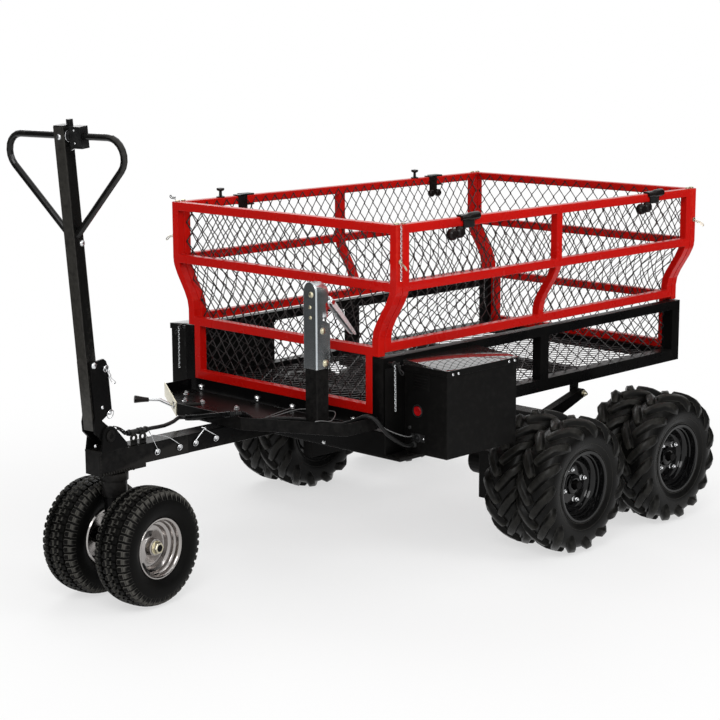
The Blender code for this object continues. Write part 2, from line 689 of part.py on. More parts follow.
def rear_subframe(owner):
    """Cross tube, hangers for the tandem pivot, and arms up to the dump hinge with its stub pins."""
    top = SPINE_Z - REAR_CROSS_DROP
    bottom = top - REAR_CROSS_HEIGHT
    foot = PIVOT_Z - 2 * PIVOT_RADIUS
    half_ys = [SPINE_WIDTH / 2, REAR_CROSS_HALF - HANGER_THICK, REAR_CROSS_HALF]
    ys = [-y for y in reversed(half_ys)] + half_ys
    xs = (BEAM_X - REAR_CROSS_WIDTH / 2, BEAM_X + REAR_CROSS_WIDTH / 2)

    def solid(i, j, k):
        """Hangers at both ends below the cross tube, and a riser to the spine above it."""
        return (j in (0, 4), True, j == 2)[k]

    mesh = lattice("rear_subframe", xs, ys, (foot, bottom, top, SPINE_Z - GAP), solid)
    frame = put("rear_subframe", mesh, "black_paint", owner)
    hinge_x = along(HINGE_PLACE)
    arm_y = LUG_INNER_Y + LUG_THICK + SLIDE_GAP
    outline = [(xs[0] + GAP, top - ARM_DEPTH), (xs[1], top - ARM_DEPTH)]
    outline += arc((hinge_x, HINGE_Z), ARM_EYE, -70, 105, 8)
    outline += [(xs[0] + GAP, top + ARM_DEPTH / 4)]
    for side in (-1, 1):
        tag = "near" if side < 0 else "far"
        arm = extruded("hinge_arm_" + tag, outline, side * arm_y, side * ARM_THICK, 'Y')
        combine(frame, helper("hinge_arm_" + tag, arm, owner), 'UNION')
        pin = cylinder("hinge_pin_" + tag, (hinge_x, side * (LUG_INNER_Y - SLIDE_GAP), HINGE_Z),
                       (hinge_x, side * (arm_y + ARM_THICK / 2), HINGE_Z), HINGE_PIN_RADIUS, 16)
        combine(frame, helper("hinge_pin_" + tag, pin, owner), 'UNION')
    reach = REAR_CROSS_HALF + 0.010
    bore = cylinder("pivot_bore", (BEAM_X, -reach, PIVOT_Z), (BEAM_X, reach, PIVOT_Z), PIVOT_RADIUS + GAP, 24)
    combine(frame, helper("pivot_bore", bore, owner), 'DIFFERENCE')
    end = CASE_INNER_Y + CASE_THICK + 0.008
    shaft = cylinder("tandem_pivot_shaft", (BEAM_X, -end, PIVOT_Z), (BEAM_X, end, PIVOT_Z), PIVOT_RADIUS, 24)
    put("tandem_pivot_shaft", shaft, "zinc", owner, smooth=True)


def tray_outline(inset):
    """The tray's corners seen from above, from the near rear one round the nose, moved in by the inset."""
    (near_shoulder, near_half), (far_shoulder, far_half) = TRAY_NEAR, TRAY_FAR
    nose, front, slant = TRAY_NOSE_HALF - inset * 0.45, TRAY_FRONT + inset, inset * 0.45
    points = [(TRAY_REAR, inset - near_half), (near_shoulder + slant, inset - near_half), (front, -nose),
              (front, nose), (far_shoulder + slant, far_half - inset), (TRAY_REAR, far_half - inset)]
    return [(along(x), y) for x, y in points]


def tray(owner):
    """A folded dish with a lip on every side but the rear, standing on a riser on the spine."""
    bm = bmesh.new()
    levels = ((0.0, TRAY_FLOOR_Z - TRAY_SHEET), (0.0, TRAY_TOP_Z),
              (TRAY_SHEET, TRAY_FLOOR_Z), (TRAY_SHEET, TRAY_TOP_Z))
    out_low, out_top, in_low, in_top = [[bm.verts.new((x, y, z)) for x, y in tray_outline(inset)]
                                        for inset, z in levels]
    last = len(out_low) - 1
    for n in range(last):
        m = n + 1
        bm.faces.new((out_low[n], out_low[m], out_top[m], out_top[n]))
        bm.faces.new((in_low[n], in_top[n], in_top[m], in_low[m]))
        bm.faces.new((out_top[n], out_top[m], in_top[m], in_top[n]))
    bm.faces.new(out_low)
    bm.faces.new(in_low)
    for n in (0, last):
        bm.faces.new((out_low[n], out_top[n], in_top[n], in_low[n]))
    bm.faces.new((out_low[0], in_low[0], in_low[last], out_low[last]))
    plate = put("front_tray", finished(bm, "front_tray"), "black_paint", owner)
    slot = latch_slot("tray_slot")
    combine(plate, helper("tray_slot", slot, owner), 'DIFFERENCE')


def far_edge_frame():
    """Axes of the tray's far slanting edge: its middle, along it and outward from it."""
    a = Vector((along(TRAY_FRONT), TRAY_NOSE_HALF, LEVER_Z))
    b = Vector((along(TRAY_FAR[0]), TRAY_FAR[1], LEVER_Z))
    run = (b - a).normalized()
    return a, run, Vector((-run.y, run.x, 0.0)), (b - a).length


def edge_block(name, start, end, inner, outer, low, high):
    """A block along the tray's far slanting edge, measured along it and outward from it."""
    a, run, out, _ = far_edge_frame()
    mesh = block(name, (start, inner, low), (end, outer, high))
    turn = Matrix((
        (run.x, out.x, 0, a.x),
        (run.y, out.y, 0, a.y),
        (0, 0, 1, 0),
        (0, 0, 0, 1),
    ))
    mesh.transform(turn)
    bm = bmesh.new()
    bm.from_mesh(mesh)
    return finished(bm, name)


def latch_slot(name):
    return edge_block(name, SLOT_PLACE - SLOT_END_ROOM, SLOT_PLACE + SLOT_TRAVEL, -0.012, 0.012,
                      LEVER_Z - ROD_RADIUS - 0.003, LEVER_Z + ROD_RADIUS + 0.003)


def latch_plate(owner):
    edge = far_edge_frame()[-1]
    plate = edge_block("tray_latch_plate", LATCH_PLATE_ROOM, edge - LATCH_PLATE_ROOM, GAP, GAP + TRAY_SHEET,
                       TRAY_TOP_Z - TRAY_LIP - PLATE_OVERHANG, TRAY_TOP_Z + PLATE_OVERHANG)
    thing = put("tray_latch_plate", plate, "zinc", owner)
    combine(thing, helper("plate_slot", latch_slot("plate_slot"), owner), 'DIFFERENCE')


def dump_lever(owner):
    """The rod that frees the bed: it swings flat in the tray, through the slot in its lip."""
    a, run, out, _ = far_edge_frame()
    through = a + run * SLOT_PLACE
    start = through - out * LEVER_INSIDE
    bend = through + out * 0.030
    rise = Vector((0, 0, 0.020))
    rod_end = through + out * 0.062 + rise
    grip_end = rod_end + out * 0.048
    rod = swept("dump_latch_lever", [start, bend - out * 0.006, bend + out * 0.008 + rise * 0.35,
                                     rod_end + out * 0.010], ROD_RADIUS, 10)
    lever = put("dump_latch_lever", rod, "zinc", owner, smooth=True)
    profile = [(0.004, 0.0), (0.0085, 0.006), (0.0110, 0.030), (0.0085, 0.036), (0.004, 0.036)]
    grip = turned("latch_grip", profile, 14)
    facing = Matrix((
        (run.x, out.x, 0, rod_end.x),
        (run.y, out.y, 0, rod_end.y),
        (0, 0, 1, rod_end.z),
        (0, 0, 0, 1),
    ))
    grip.transform(facing)
    combine(lever, helper("latch_grip", grip, owner), 'UNION')


def battery_box(tag, side, owner):
    inner, outer = side * BOX_Y, side * (BOX_Y + BOX_DEPTH)
    low_y, high_y = min(inner, outer), max(inner, outer)
    front, back = along(BOX_FRONT), along(BOX_FRONT + BOX_LENGTH)
    top = BOX_Z + BOX_HEIGHT
    case = put("battery_box_" + tag, block("battery_box_" + tag, (front, low_y, BOX_Z), (back, high_y, top)),
               "black_paint", owner)
    over = GAP + LID_SHEET
    xs = (front - over, front - GAP, back + GAP, back + over)
    ys = (low_y - over, low_y - GAP, high_y + GAP, high_y + over)
    zs = (top - LID_SKIRT, top + GAP, top + over)
    mesh = lattice("battery_lid_" + tag, xs, ys, zs, lambda i, j, k: k == 1 or i != 1 or j != 1)
    put("battery_lid_" + tag, mesh, "black_paint", owner)
    return case


def power_switch(case, owner, switch_owner):
    """A round rocker in a round pocket in the near box's front wall."""
    x = along(BOX_FRONT)
    y = -BOX_Y - SWITCH_INSET
    back, depth, proud = x + 0.006, 0.012, 0.008
    pocket = cylinder("switch_pocket", (x - depth, y, SWITCH_Z), (x + depth, y, SWITCH_Z),
                      SWITCH_RADIUS + SLIDE_GAP, 24)
    combine(case, helper("switch_pocket", pocket, owner), 'DIFFERENCE')
    low, high = SWITCH_Z - 2 * SWITCH_RADIUS, SWITCH_Z + 2 * SWITCH_RADIUS
    outline = [(back, low), (back, high), (x - proud, high), (x - SLIDE_GAP, SWITCH_Z), (x - SLIDE_GAP, low)]
    wedge = extruded("power_switch", outline, y - 2 * SWITCH_RADIUS, 4 * SWITCH_RADIUS, 'Y')
    rocker = put("power_switch", wedge, "red_switch", switch_owner)
    disc = cylinder("switch_round", (x - depth, y, SWITCH_Z), (x + depth, y, SWITCH_Z), SWITCH_RADIUS, 24)
    combine(rocker, helper("switch_round", disc, switch_owner), 'INTERSECT')


def coupler(owner, latch_owner):
    """The ball coupler standing on its post: a folded channel with a round head and a latch."""
    x, y = along(POST_PLACE[0]), POST_PLACE[1]
    half = POST_TUBE / 2
    post = block("coupler_post", (x - half, y - half, TRAY_FLOOR_Z + GAP), (x + half, y + half, POST_TOP_Z))
    put("coupler_post", post, "black_paint", owner)
    width = half + GAP + COUPLER_SHEET
    foot = COUPLER_TOP_Z - COUPLER_LENGTH
    outline = [(x + width, foot), (x + width, COUPLER_TOP_Z - width)]
    outline += arc((x, COUPLER_TOP_Z - width), width, 15, 165, 10)
    outline += [(x - width, COUPLER_TOP_Z - width), (x - width, foot)]
    body = put("coupler_body", extruded("coupler_body", outline, y - width, 2 * width, 'Y'), "zinc", owner)
    lug = block("coupler_lug", (x + width - 0.012, y - 0.006, LATCH_Z - 0.018),
                (x + LATCH_REACH + 0.006, y + 0.006, LATCH_Z + 0.012))
    combine(body, helper("coupler_lug", lug, owner), 'UNION')
    channel = block("coupler_channel", (x - half - GAP, y - half - GAP, foot - 0.01),
                    (x + 0.1, y + half + GAP, POST_TOP_Z + GAP))
    combine(body, helper("coupler_channel", channel, owner), 'DIFFERENCE')
    bm = bmesh.new()
    bmesh.ops.create_uvsphere(bm, u_segments=14, v_segments=8, radius=0.0255)
    bmesh.ops.translate(bm, verts=bm.verts, vec=(x + 0.013, y, LATCH_Z - 0.028))
    combine(body, helper("ball_socket", finished(bm, "ball_socket"), owner), 'DIFFERENCE')
    pivot_x = x + LATCH_REACH
    run = Vector((math.sin(LATCH_ANGLE), 0, -math.cos(LATCH_ANGLE)))
    across = Vector((run.z, 0, -run.x))
    shape = [(-0.012, 0.006), (0.030, 0.012), (LATCH_LENGTH - 0.012, 0.009), (LATCH_LENGTH, 0.0),
             (LATCH_LENGTH - 0.006, -0.005), (0.020, -0.003), (-0.008, -0.009)]
    outline = []
    for reach, side in shape:
        point = Vector((pivot_x, 0, LATCH_Z)) + run * reach - across * side
        outline.append((point.x, point.z))
    lever = put("coupler_latch", extruded("coupler_latch", outline, y - LATCH_WIDTH / 2, LATCH_WIDTH, 'Y'),
                "zinc", latch_owner)
    slot = block("latch_slot", (pivot_x - 0.04, y - 0.0068, LATCH_Z - 0.034),
                 (pivot_x + 0.022, y + 0.0068, LATCH_Z + 0.03))
    combine(lever, helper("latch_slot", slot, latch_owner), 'DIFFERENCE')


def drive_case(tag, side, owner):
    """A walking beam: the closed drive case, its motor and the axle stubs for both dual wheels."""
    inner = side * CASE_INNER_Y
    round_corner = 0.025
    x0, x1 = BEAM_X - CASE_FRONT_REACH, BEAM_X + CASE_REAR_REACH
    z0, z1 = PIVOT_Z - CASE_DROP, PIVOT_Z + CASE_TOP
    outline = [(x0, z1), (x0, z0)]
    for cz, turn in ((z0 + round_corner, -90), (z1 - round_corner, 0)):
        outline += arc((x1 - round_corner, cz), round_corner, turn, turn + 90, 4)
    case = put("drive_case_" + tag, extruded("drive_case_" + tag, outline, inner, side * CASE_THICK, 'Y'),
               "black_paint", owner)
    outer = side * (CASE_INNER_Y + CASE_THICK)
    end = side * (INNER_TYRE_Y + DUAL_SPACING + 0.030)
    for place in (-TANDEM_SPACING / 2, TANDEM_SPACING / 2):
        stub_name = "axle_stub_%s_%s" % (tag, "front" if place < 0 else "rear")
        x = BEAM_X + place
        root = outer - side * CASE_THICK / 4
        stub = cylinder(stub_name, (x, root, TYRE_RADIUS), (x, end, TYRE_RADIUS), AXLE_RADIUS, 16)
        combine(case, helper(stub_name, stub, owner), 'UNION')
    x = BEAM_X - TANDEM_SPACING / 2
    motor = cylinder("drive_motor_" + tag, (x, inner + side * 0.010, PIVOT_Z),
                     (x, inner - side * MOTOR_LENGTH, PIVOT_Z), MOTOR_RADIUS, 24)
    combine(case, helper("drive_motor_" + tag, motor, owner), 'UNION')
    bore = cylinder("case_bore_" + tag, (BEAM_X, inner - side * 0.01, PIVOT_Z),
                    (BEAM_X, outer + side * 0.01, PIVOT_Z), PIVOT_RADIUS + RUNNING_GAP, 24)
    combine(case, helper("case_bore_" + tag, bore, owner), 'DIFFERENCE')


def lugged_tyre(name):
    """A chevron tyre about its own centre, axis Y. Each lug sweeps from the centre to both shoulders."""
    bm = bmesh.new()
    sides = 2 * LUG_COUNT
    pitch = 2 * math.pi / LUG_COUNT
    sweep = pitch / 2
    bead = RIM_SEAT_RADIUS + GAP
    heights = (0, LUG_DEPTH, LUG_DEPTH, 0)
    shares = (0.0, 0.12, 0.45, 0.57)

    def ring(y, radius, angles):
        return [bm.verts.new((r * math.cos(t), y, r * math.sin(t))) for r, t in zip(radius, angles)]

    def tread(y, drop):
        angles, radii = [], []
        for n in range(LUG_COUNT):
            for share, height in zip(shares, heights):
                lead = (share - shares[1]) * pitch + n * pitch - math.pi / 2
                angles.append(lead - sweep * abs(y) / TREAD_HALF)
                radii.append(TYRE_RADIUS - LUG_DEPTH - drop + height)
        return ring(y, radii, angles)

    even = [2 * math.pi * n / sides - math.pi / 2 for n in range(sides)]
    wall = 0.5 * (bead + TYRE_RADIUS)
    rows = [ring(-TYRE_BEAD_HALF, [bead] * sides, even), ring(-TYRE_HALF_WIDTH, [wall] * sides, even),
            tread(-TREAD_HALF, SHOULDER_DROP), tread(0.0, 0.0), tread(TREAD_HALF, SHOULDER_DROP),
            ring(TYRE_HALF_WIDTH, [wall] * sides, even), ring(TYRE_BEAD_HALF, [bead] * sides, even)]

    def join(a, b):
        for n in range(len(a)):
            m = (n + 1) % len(a)
            bm.faces.new((a[n], a[m], b[m], b[n]))

    def join_double(coarse, fine):
        """From one vertex for each half pitch to two. The swept shoulder is half a pitch behind."""
        total = len(coarse)
        for n in range(total):
            c, d = coarse[n - 1], coarse[n]
            e, f, g = fine[2 * n], fine[2 * n + 1], fine[(2 * n + 2) % len(fine)]
            bm.faces.new((c, f, e))
            bm.faces.new((c, d, g, f))

    join(rows[0], rows[1])
    join_double(rows[1], rows[2])
    join(rows[2], rows[3])
    join(rows[3], rows[4])
    join_double(rows[5], rows[4])
    join(rows[5], rows[6])
    join(rows[6], rows[0])
    mesh = finished(bm, name)
    mesh.materials.append(material("tyre_rubber"))
    return mesh


def lip_spread(seat, tyre_radius, bead_half, half_width):
    """How far a rim's lip spreads from its seat, to clear the bulge of the tyre's side."""
    return GAP + 2 * RIM_LIP * (half_width - bead_half) / (tyre_radius - seat)


def dual_rim(name, side):
    """Both rims of one dual wheel and the hub between them, about the middle of the pair."""
    seat, lip = RIM_SEAT_RADIUS, RIM_SEAT_RADIUS + RIM_LIP
    inner, outer = -DUAL_SPACING / 2, DUAL_SPACING / 2
    edge = TYRE_BEAD_HALF + GAP
    wide = edge + lip_spread(seat, TYRE_RADIUS, TYRE_BEAD_HALF, TYRE_HALF_WIDTH)
    bore = AXLE_RADIUS + RUNNING_GAP
    hub_start = CASE_INNER_Y + CASE_THICK + 3 * SLIDE_GAP - INNER_TYRE_Y + inner
    disc = outer - 0.020
    profile = [
        (lip, inner - wide - RIM_FLANGE), (lip, inner - wide), (seat, inner - edge), (seat, inner + edge),
        (lip, inner + wide), (lip, outer - wide), (seat, outer - edge), (seat, outer + edge),
        (lip, outer + wide), (lip, outer + wide + RIM_FLANGE), (seat - 2 * RIM_SHEET, outer + wide + RIM_FLANGE),
        (seat - 3 * RIM_SHEET, disc), (HUB_RADIUS, disc + 0.010), (HUB_RADIUS, disc + 0.030), (bore, disc + 0.030),
        (bore, hub_start), (HUB_RADIUS, hub_start), (HUB_RADIUS, inner - 0.010),
        (seat - 3 * RIM_SHEET, inner - 0.010), (seat - 2 * RIM_SHEET, inner - wide - RIM_FLANGE),
    ]
    mesh = turned(name, [(r, side * y) for r, y in profile], 2 * LUG_COUNT)
    mesh.materials.append(material("black_rim"))
    mesh.shade_smooth()
    mesh.set_sharp_from_angle(angle=math.radians(35))
    return mesh


def turf_tyre(name):
    """A round-shouldered tyre with two grooves, about its own centre, axis Y."""
    bead = FRONT_SEAT_RADIUS + GAP
    top = FRONT_TYRE_RADIUS
    half = [(bead, FRONT_BEAD_HALF), ((bead + top) / 2, FRONT_TYRE_HALF), (top - 0.020, 0.050),
            (top - 0.004, 0.030), (top - 0.001, 0.016), (top - 0.007, 0.013), (top - 0.007, 0.010)]
    profile = half + [(top, 0.007)] + [(r, -y) for r, y in reversed(half + [(top, 0.007)])]
    mesh = turned(name, profile, 28)
    mesh.materials.append(material("tyre_rubber"))
    mesh.shade_smooth()
    mesh.set_sharp_from_angle(angle=math.radians(35))
    return mesh


def front_rim(name, side):
    seat, lip = FRONT_SEAT_RADIUS, FRONT_SEAT_RADIUS + RIM_LIP
    edge = FRONT_BEAD_HALF + GAP
    wide = edge + lip_spread(seat, FRONT_TYRE_RADIUS, FRONT_BEAD_HALF, FRONT_TYRE_HALF)
    bore = FRONT_AXLE_RADIUS + RUNNING_GAP
    inner_end = -(FRONT_TYRE_Y - KNUCKLE_HALF - 2 * SLIDE_GAP)
    profile = [
        (lip, -wide - RIM_FLANGE), (lip, -wide), (seat, -edge), (seat, edge), (lip, wide), (lip, wide + RIM_FLANGE),
        (seat - 0.007, wide + RIM_FLANGE), (seat - 0.012, 0.012), (0.030, 0.020), (0.020, 0.030), (bore, 0.030),
        (bore, inner_end), (0.022, inner_end), (0.022, -0.012), (seat - 0.012, -0.012),
        (seat - 0.007, -wide - RIM_FLANGE),
    ]
    mesh = turned(name, [(r, side * y) for r, y in profile], 28)
    mesh.materials.append(material("silver_rim"))
    mesh.shade_smooth()
    mesh.set_sharp_from_angle(angle=math.radians(35))
    return mesh


def front_fork(owner):
    """Kingpin, column, knuckle and axle: one weldment that turns in the tongue."""
    x, axle_x = along(STEER_AXIS), along(FRONT_AXLE)
    shoulder = SPINE_Z - HEAD_DEPTH - SLIDE_GAP
    axle_z = FRONT_TYRE_RADIUS
    column = cylinder("front_fork", (x, 0, axle_z), (x, 0, shoulder), COLUMN_RADIUS, 24)
    fork = put("front_fork", column, "black_paint", owner, smooth=True)
    kingpin = cylinder("kingpin", (x, 0, shoulder - 0.01), (x, 0, SPINE_TOP_Z), KINGPIN_RADIUS, 24)
    combine(fork, helper("kingpin", kingpin, owner), 'UNION')
    knuckle = block("knuckle", (x - COLUMN_RADIUS - 0.002, -KNUCKLE_HALF, axle_z - KNUCKLE_HEIGHT / 2),
                    (axle_x + COLUMN_RADIUS - 0.005, KNUCKLE_HALF, axle_z + KNUCKLE_HEIGHT / 2))
    combine(fork, helper("knuckle", knuckle, owner), 'UNION')
    end = FRONT_TYRE_Y + FRONT_BEAD_HALF
    axle = cylinder("front_axle", (axle_x, -end, axle_z), (axle_x, end, axle_z), FRONT_AXLE_RADIUS, 16)
    combine(fork, helper("front_axle", axle, owner), 'UNION')


def steering_yoke(owner):
    """The clevis on top of the kingpin and the pin that the handle tilts on."""
    x = along(STEER_AXIS)
    tilt_x = along(TILT_AXIS)
    base = SPINE_TOP_Z + GAP
    ear_y = MAST_TUBE / 2 + GAP + CHEEK + SLIDE_GAP
    half = ear_y + YOKE_PLATE
    front, back = x - YOKE_REACH[0], x + YOKE_REACH[1]
    plate = put("steering_yoke", block("steering_yoke", (front, -half, base), (back, half, base + YOKE_PLATE)),
                "black_paint", owner)
    outline = [(front + SLIDE_GAP, base + SLIDE_GAP), (back - SLIDE_GAP, base + SLIDE_GAP),
               (back - SLIDE_GAP, base + 2 * YOKE_PLATE)]
    outline += arc((tilt_x, TILT_Z), YOKE_EYE, 35, 190, 10)
    for side in (-1, 1):
        tag = "near" if side < 0 else "far"
        ear = extruded("yoke_ear_" + tag, outline, side * ear_y, side * YOKE_PLATE, 'Y')
        combine(plate, helper("yoke_ear_" + tag, ear, owner), 'UNION')
    through = 2 * half
    hole = cylinder("yoke_holes", (tilt_x, -through, TILT_Z), (tilt_x, through, TILT_Z), TILT_PIN_RADIUS + GAP, 16)
    combine(plate, helper("yoke_holes", hole, owner), 'DIFFERENCE')
    end = half + YOKE_PLATE
    pin = cylinder("tilt_pin", (tilt_x, -end, TILT_Z), (tilt_x, end, TILT_Z), TILT_PIN_RADIUS, 16)
    put("tilt_pin", pin, "zinc", owner, smooth=True)


def leaned(mesh):
    """Moves a mesh drawn upright about the tilt axis to the handle's resting lean."""
    tilt = Matrix.Translation((along(TILT_AXIS), 0, TILT_Z))
    mesh.transform(tilt @ Matrix.Rotation(-MAST_LEAN, 4, 'Y'))
    return mesh


def leaned_point(place):
    tilt = Matrix.Translation((along(TILT_AXIS), 0, TILT_Z))
    return tilt @ Matrix.Rotation(-MAST_LEAN, 4, 'Y') @ Vector(place)


def handle_bracket(owner):
    """Two cheeks and a back, folded round the foot of the mast, with an eye for the tilt pin."""
    back_x = BRACKET_BACK - MAST_OFFSET
    front_x = -MAST_OFFSET - MAST_TUBE / 2
    set_back = front_x + 0.006
    half = MAST_TUBE / 2 + GAP + CHEEK / 2
    mesh = leaned(block("handle_bracket", (back_x - CHEEK, -half, 0.064),
                        (back_x - GAP, half, BRACKET_TOP - 0.024)))
    bracket = put("handle_bracket", mesh, "black_paint", owner)
    outline = [(set_back, BRACKET_TOP), (set_back, 0.062), (front_x, 0.045), (front_x, 0.019)]
    outline += arc((0, 0), CHEEK_EYE, -125, 80, 8)
    outline += [(-0.018, 0.046), (back_x, 0.062), (back_x, BRACKET_TOP - 0.022),
                (back_x - 0.004, BRACKET_TOP - 0.008), (back_x - 0.012, BRACKET_TOP)]
    for side in (-1, 1):
        tag = "near" if side < 0 else "far"
        cheek = extruded("cheek_" + tag, outline, side * (MAST_TUBE / 2 + GAP), side * CHEEK, 'Y')
        combine(bracket, helper("cheek_" + tag, leaned(cheek), owner), 'UNION')
    through = MAST_TUBE + CHEEK
    hole = leaned(cylinder("cheek_holes", (0, -through, 0), (0, through, 0), TILT_PIN_RADIUS + RUNNING_GAP, 16))
    combine(bracket, helper("cheek_holes", hole, owner), 'DIFFERENCE')


def loop_route(side):
    """Half of the heart-shaped handle, from its foot on the mast out and over to the top bar."""
    centre = (LOOP_HALF - LOOP_BEND, LOOP_BAR - LOOP_BEND)
    foot = Vector((MAST_TUBE / 4, LOOP_FOOT))
    away = foot - Vector(centre)
    reach = away.length
    turn = math.degrees(math.atan2(away.y, away.x) + math.acos(LOOP_BEND / reach))
    bend = arc(centre, LOOP_BEND, turn, 90, 8)
    points = [tuple(foot)] + bend + [(MAST_TUBE / 4, LOOP_BAR)]
    return [(-MAST_OFFSET, side * y, z) for y, z in points]


def steering_handle(owner):
    """The square mast with both halves of the loop welded to it."""
    half = MAST_TUBE / 2
    mesh = block("steering_handle", (-MAST_OFFSET - half, -half, MAST_FOOT), (-MAST_OFFSET + half, half, MAST_LENGTH))
    mast = put("steering_handle", leaned(mesh), "black_paint", owner)
    for side in (-1, 1):
        tag = "near" if side < 0 else "far"
        loop = leaned(swept("loop_" + tag, loop_route(side), LOOP_TUBE_RADIUS, 12))
        combine(mast, helper("loop_" + tag, loop, owner), 'UNION')
    mast.data.shade_smooth()
    mast.data.set_sharp_from_angle(angle=math.radians(35))


def throttle(owner, lever_owner):
    """The control housing on the near bar, and the thumb lever that turns round the bar beside it."""
    collar_start = -MAST_TUBE / 2 - SLIDE_GAP
    collar_end = collar_start - THROTTLE_COLLAR
    housing_start = collar_end - SLIDE_GAP
    depth, height = THROTTLE_SIZE
    bar = (-MAST_OFFSET, LOOP_BAR)
    wall = (depth - 2 * LOOP_TUBE_RADIUS) / 3
    front, back = bar[0] - LOOP_TUBE_RADIUS - wall, bar[0] + LOOP_TUBE_RADIUS + 2 * wall
    mesh = block("throttle_housing", (front, housing_start - THROTTLE_WIDTH, bar[1] - height / 2),
                 (back, housing_start, bar[1] + height / 2))
    housing = put("throttle_housing", leaned(mesh), "black_plastic", owner)
    bore = leaned(cylinder("housing_bore", (bar[0], 2 * -MAST_TUBE - THROTTLE_WIDTH, bar[1]), (bar[0], 0, bar[1]),
                           LOOP_TUBE_RADIUS + GAP, 24))
    combine(housing, helper("housing_bore", bore, owner), 'DIFFERENCE')
    collar = LOOP_TUBE_RADIUS + THROTTLE_WALL
    ring = leaned(cylinder("throttle_lever", (bar[0], collar_end, bar[1]), (bar[0], collar_start, bar[1]), collar, 20))
    lever = put("throttle_lever", ring, "black_plastic", lever_owner)
    foot = bar[1] + LOOP_TUBE_RADIUS + THROTTLE_WALL / 2
    stub = leaned(block("throttle_stub", (bar[0] - THROTTLE_WALL, collar_end + SLIDE_GAP, foot),
                        (bar[0] + THROTTLE_WALL, collar_start - SLIDE_GAP, bar[1] + THROTTLE_STUB)))
    combine(lever, helper("throttle_stub", stub, lever_owner), 'UNION')
    hole = leaned(cylinder("lever_bore", (bar[0], collar_end - MAST_TUBE, bar[1]), (bar[0], 0, bar[1]),
                           LOOP_TUBE_RADIUS + RUNNING_GAP, 24))
    combine(lever, helper("lever_bore", hole, lever_owner), 'DIFFERENCE')


def cable(name, route, radius, owner):
    """A round cable as a curve through a list of points, with filled caps."""
    curve = bpy.data.curves.new(name, 'CURVE')
    curve.dimensions = '3D'
    curve.bevel_depth = radius
    curve.bevel_resolution = 2
    curve.use_fill_caps = True
    spline = curve.splines.new('POLY')
    spline.points.add(len(route) - 1)
    home = Vector(owner["place"])
    for point, place in zip(spline.points, route):
        point.co = (*(place - home), 1.0)
    curve.materials.append(material("cable_black"))
    thing = bpy.data.objects.new(name, curve)
    bpy.context.scene.collection.objects.link(thing)
    thing.parent = owner


def wiring(owner):
    """The lead from the handle's foot, its plug-in connector and the loom to the near battery box."""
    plug_y, plug_z = -0.012, SPINE_TOP_Z + 0.034
    plug_start, plug_end = along(-0.568), along(-0.498)
    plug = cylinder("harness_connector", (plug_start, plug_y, plug_z), (plug_end, plug_y, plug_z), 0.0075, 14)
    put("harness_connector", plug, "black_plastic", owner, smooth=True)
    lead = [(along(STEER_AXIS) + 0.006, plug_y, TILT_Z + 0.012), (along(-0.582), plug_y, plug_z + 0.006),
            (along(-0.575), plug_y, plug_z), (plug_start - SLIDE_GAP, plug_y, plug_z)]
    cable("handle_lead", smooth_route(lead, 4), LEAD_RADIUS, owner)
    floor = TRAY_FLOOR_Z + LOOM_RADIUS + SLIDE_GAP
    over = TRAY_TOP_Z + LOOM_RADIUS + 2 * SLIDE_GAP
    loom = [(plug_end + SLIDE_GAP, plug_y, plug_z), (along(-0.480), plug_y, plug_z),
            (along(-0.430), 0.000, plug_z - 0.004), (along(-0.360), 0.042, plug_z - 0.010),
            (along(-0.305), 0.086, TRAY_FLOOR_Z + 0.004),
            (along(-0.286), 0.070, TRAY_FLOOR_Z + 0.003), (along(-0.283), 0.024, TRAY_FLOOR_Z + 0.011),
            (along(-0.283), -0.030, TRAY_FLOOR_Z + 0.023), (along(-0.281), -0.080, over - 0.006),
            (along(-0.268), -0.112, over), (along(-0.245), -0.122, over - 0.006),
            (along(-0.215), -0.120, floor + 0.006), (along(-0.180), -0.112, floor), (along(-0.130), -0.130, floor),
            (along(-0.095), -0.190, floor), (along(-0.082), -0.260, floor), (along(-0.072), -0.325, floor + 0.004),
            (along(-0.060), -0.366, over - 0.012), (along(-0.050), -0.398, over + 0.001),
            (along(-0.035), -0.420, over - 0.012), (along(-0.012), -0.436, PORT_Z + 0.020),
            (along(0.035), -0.452, PORT_Z - 0.016), (along(BOX_FRONT) - 0.012, -0.452, PORT_Z - 0.022),
            (along(BOX_FRONT) - SLIDE_GAP, -0.452, PORT_Z - 0.022)]
    cable("wiring_loom", smooth_route(loom, 2), LOOM_RADIUS, owner)


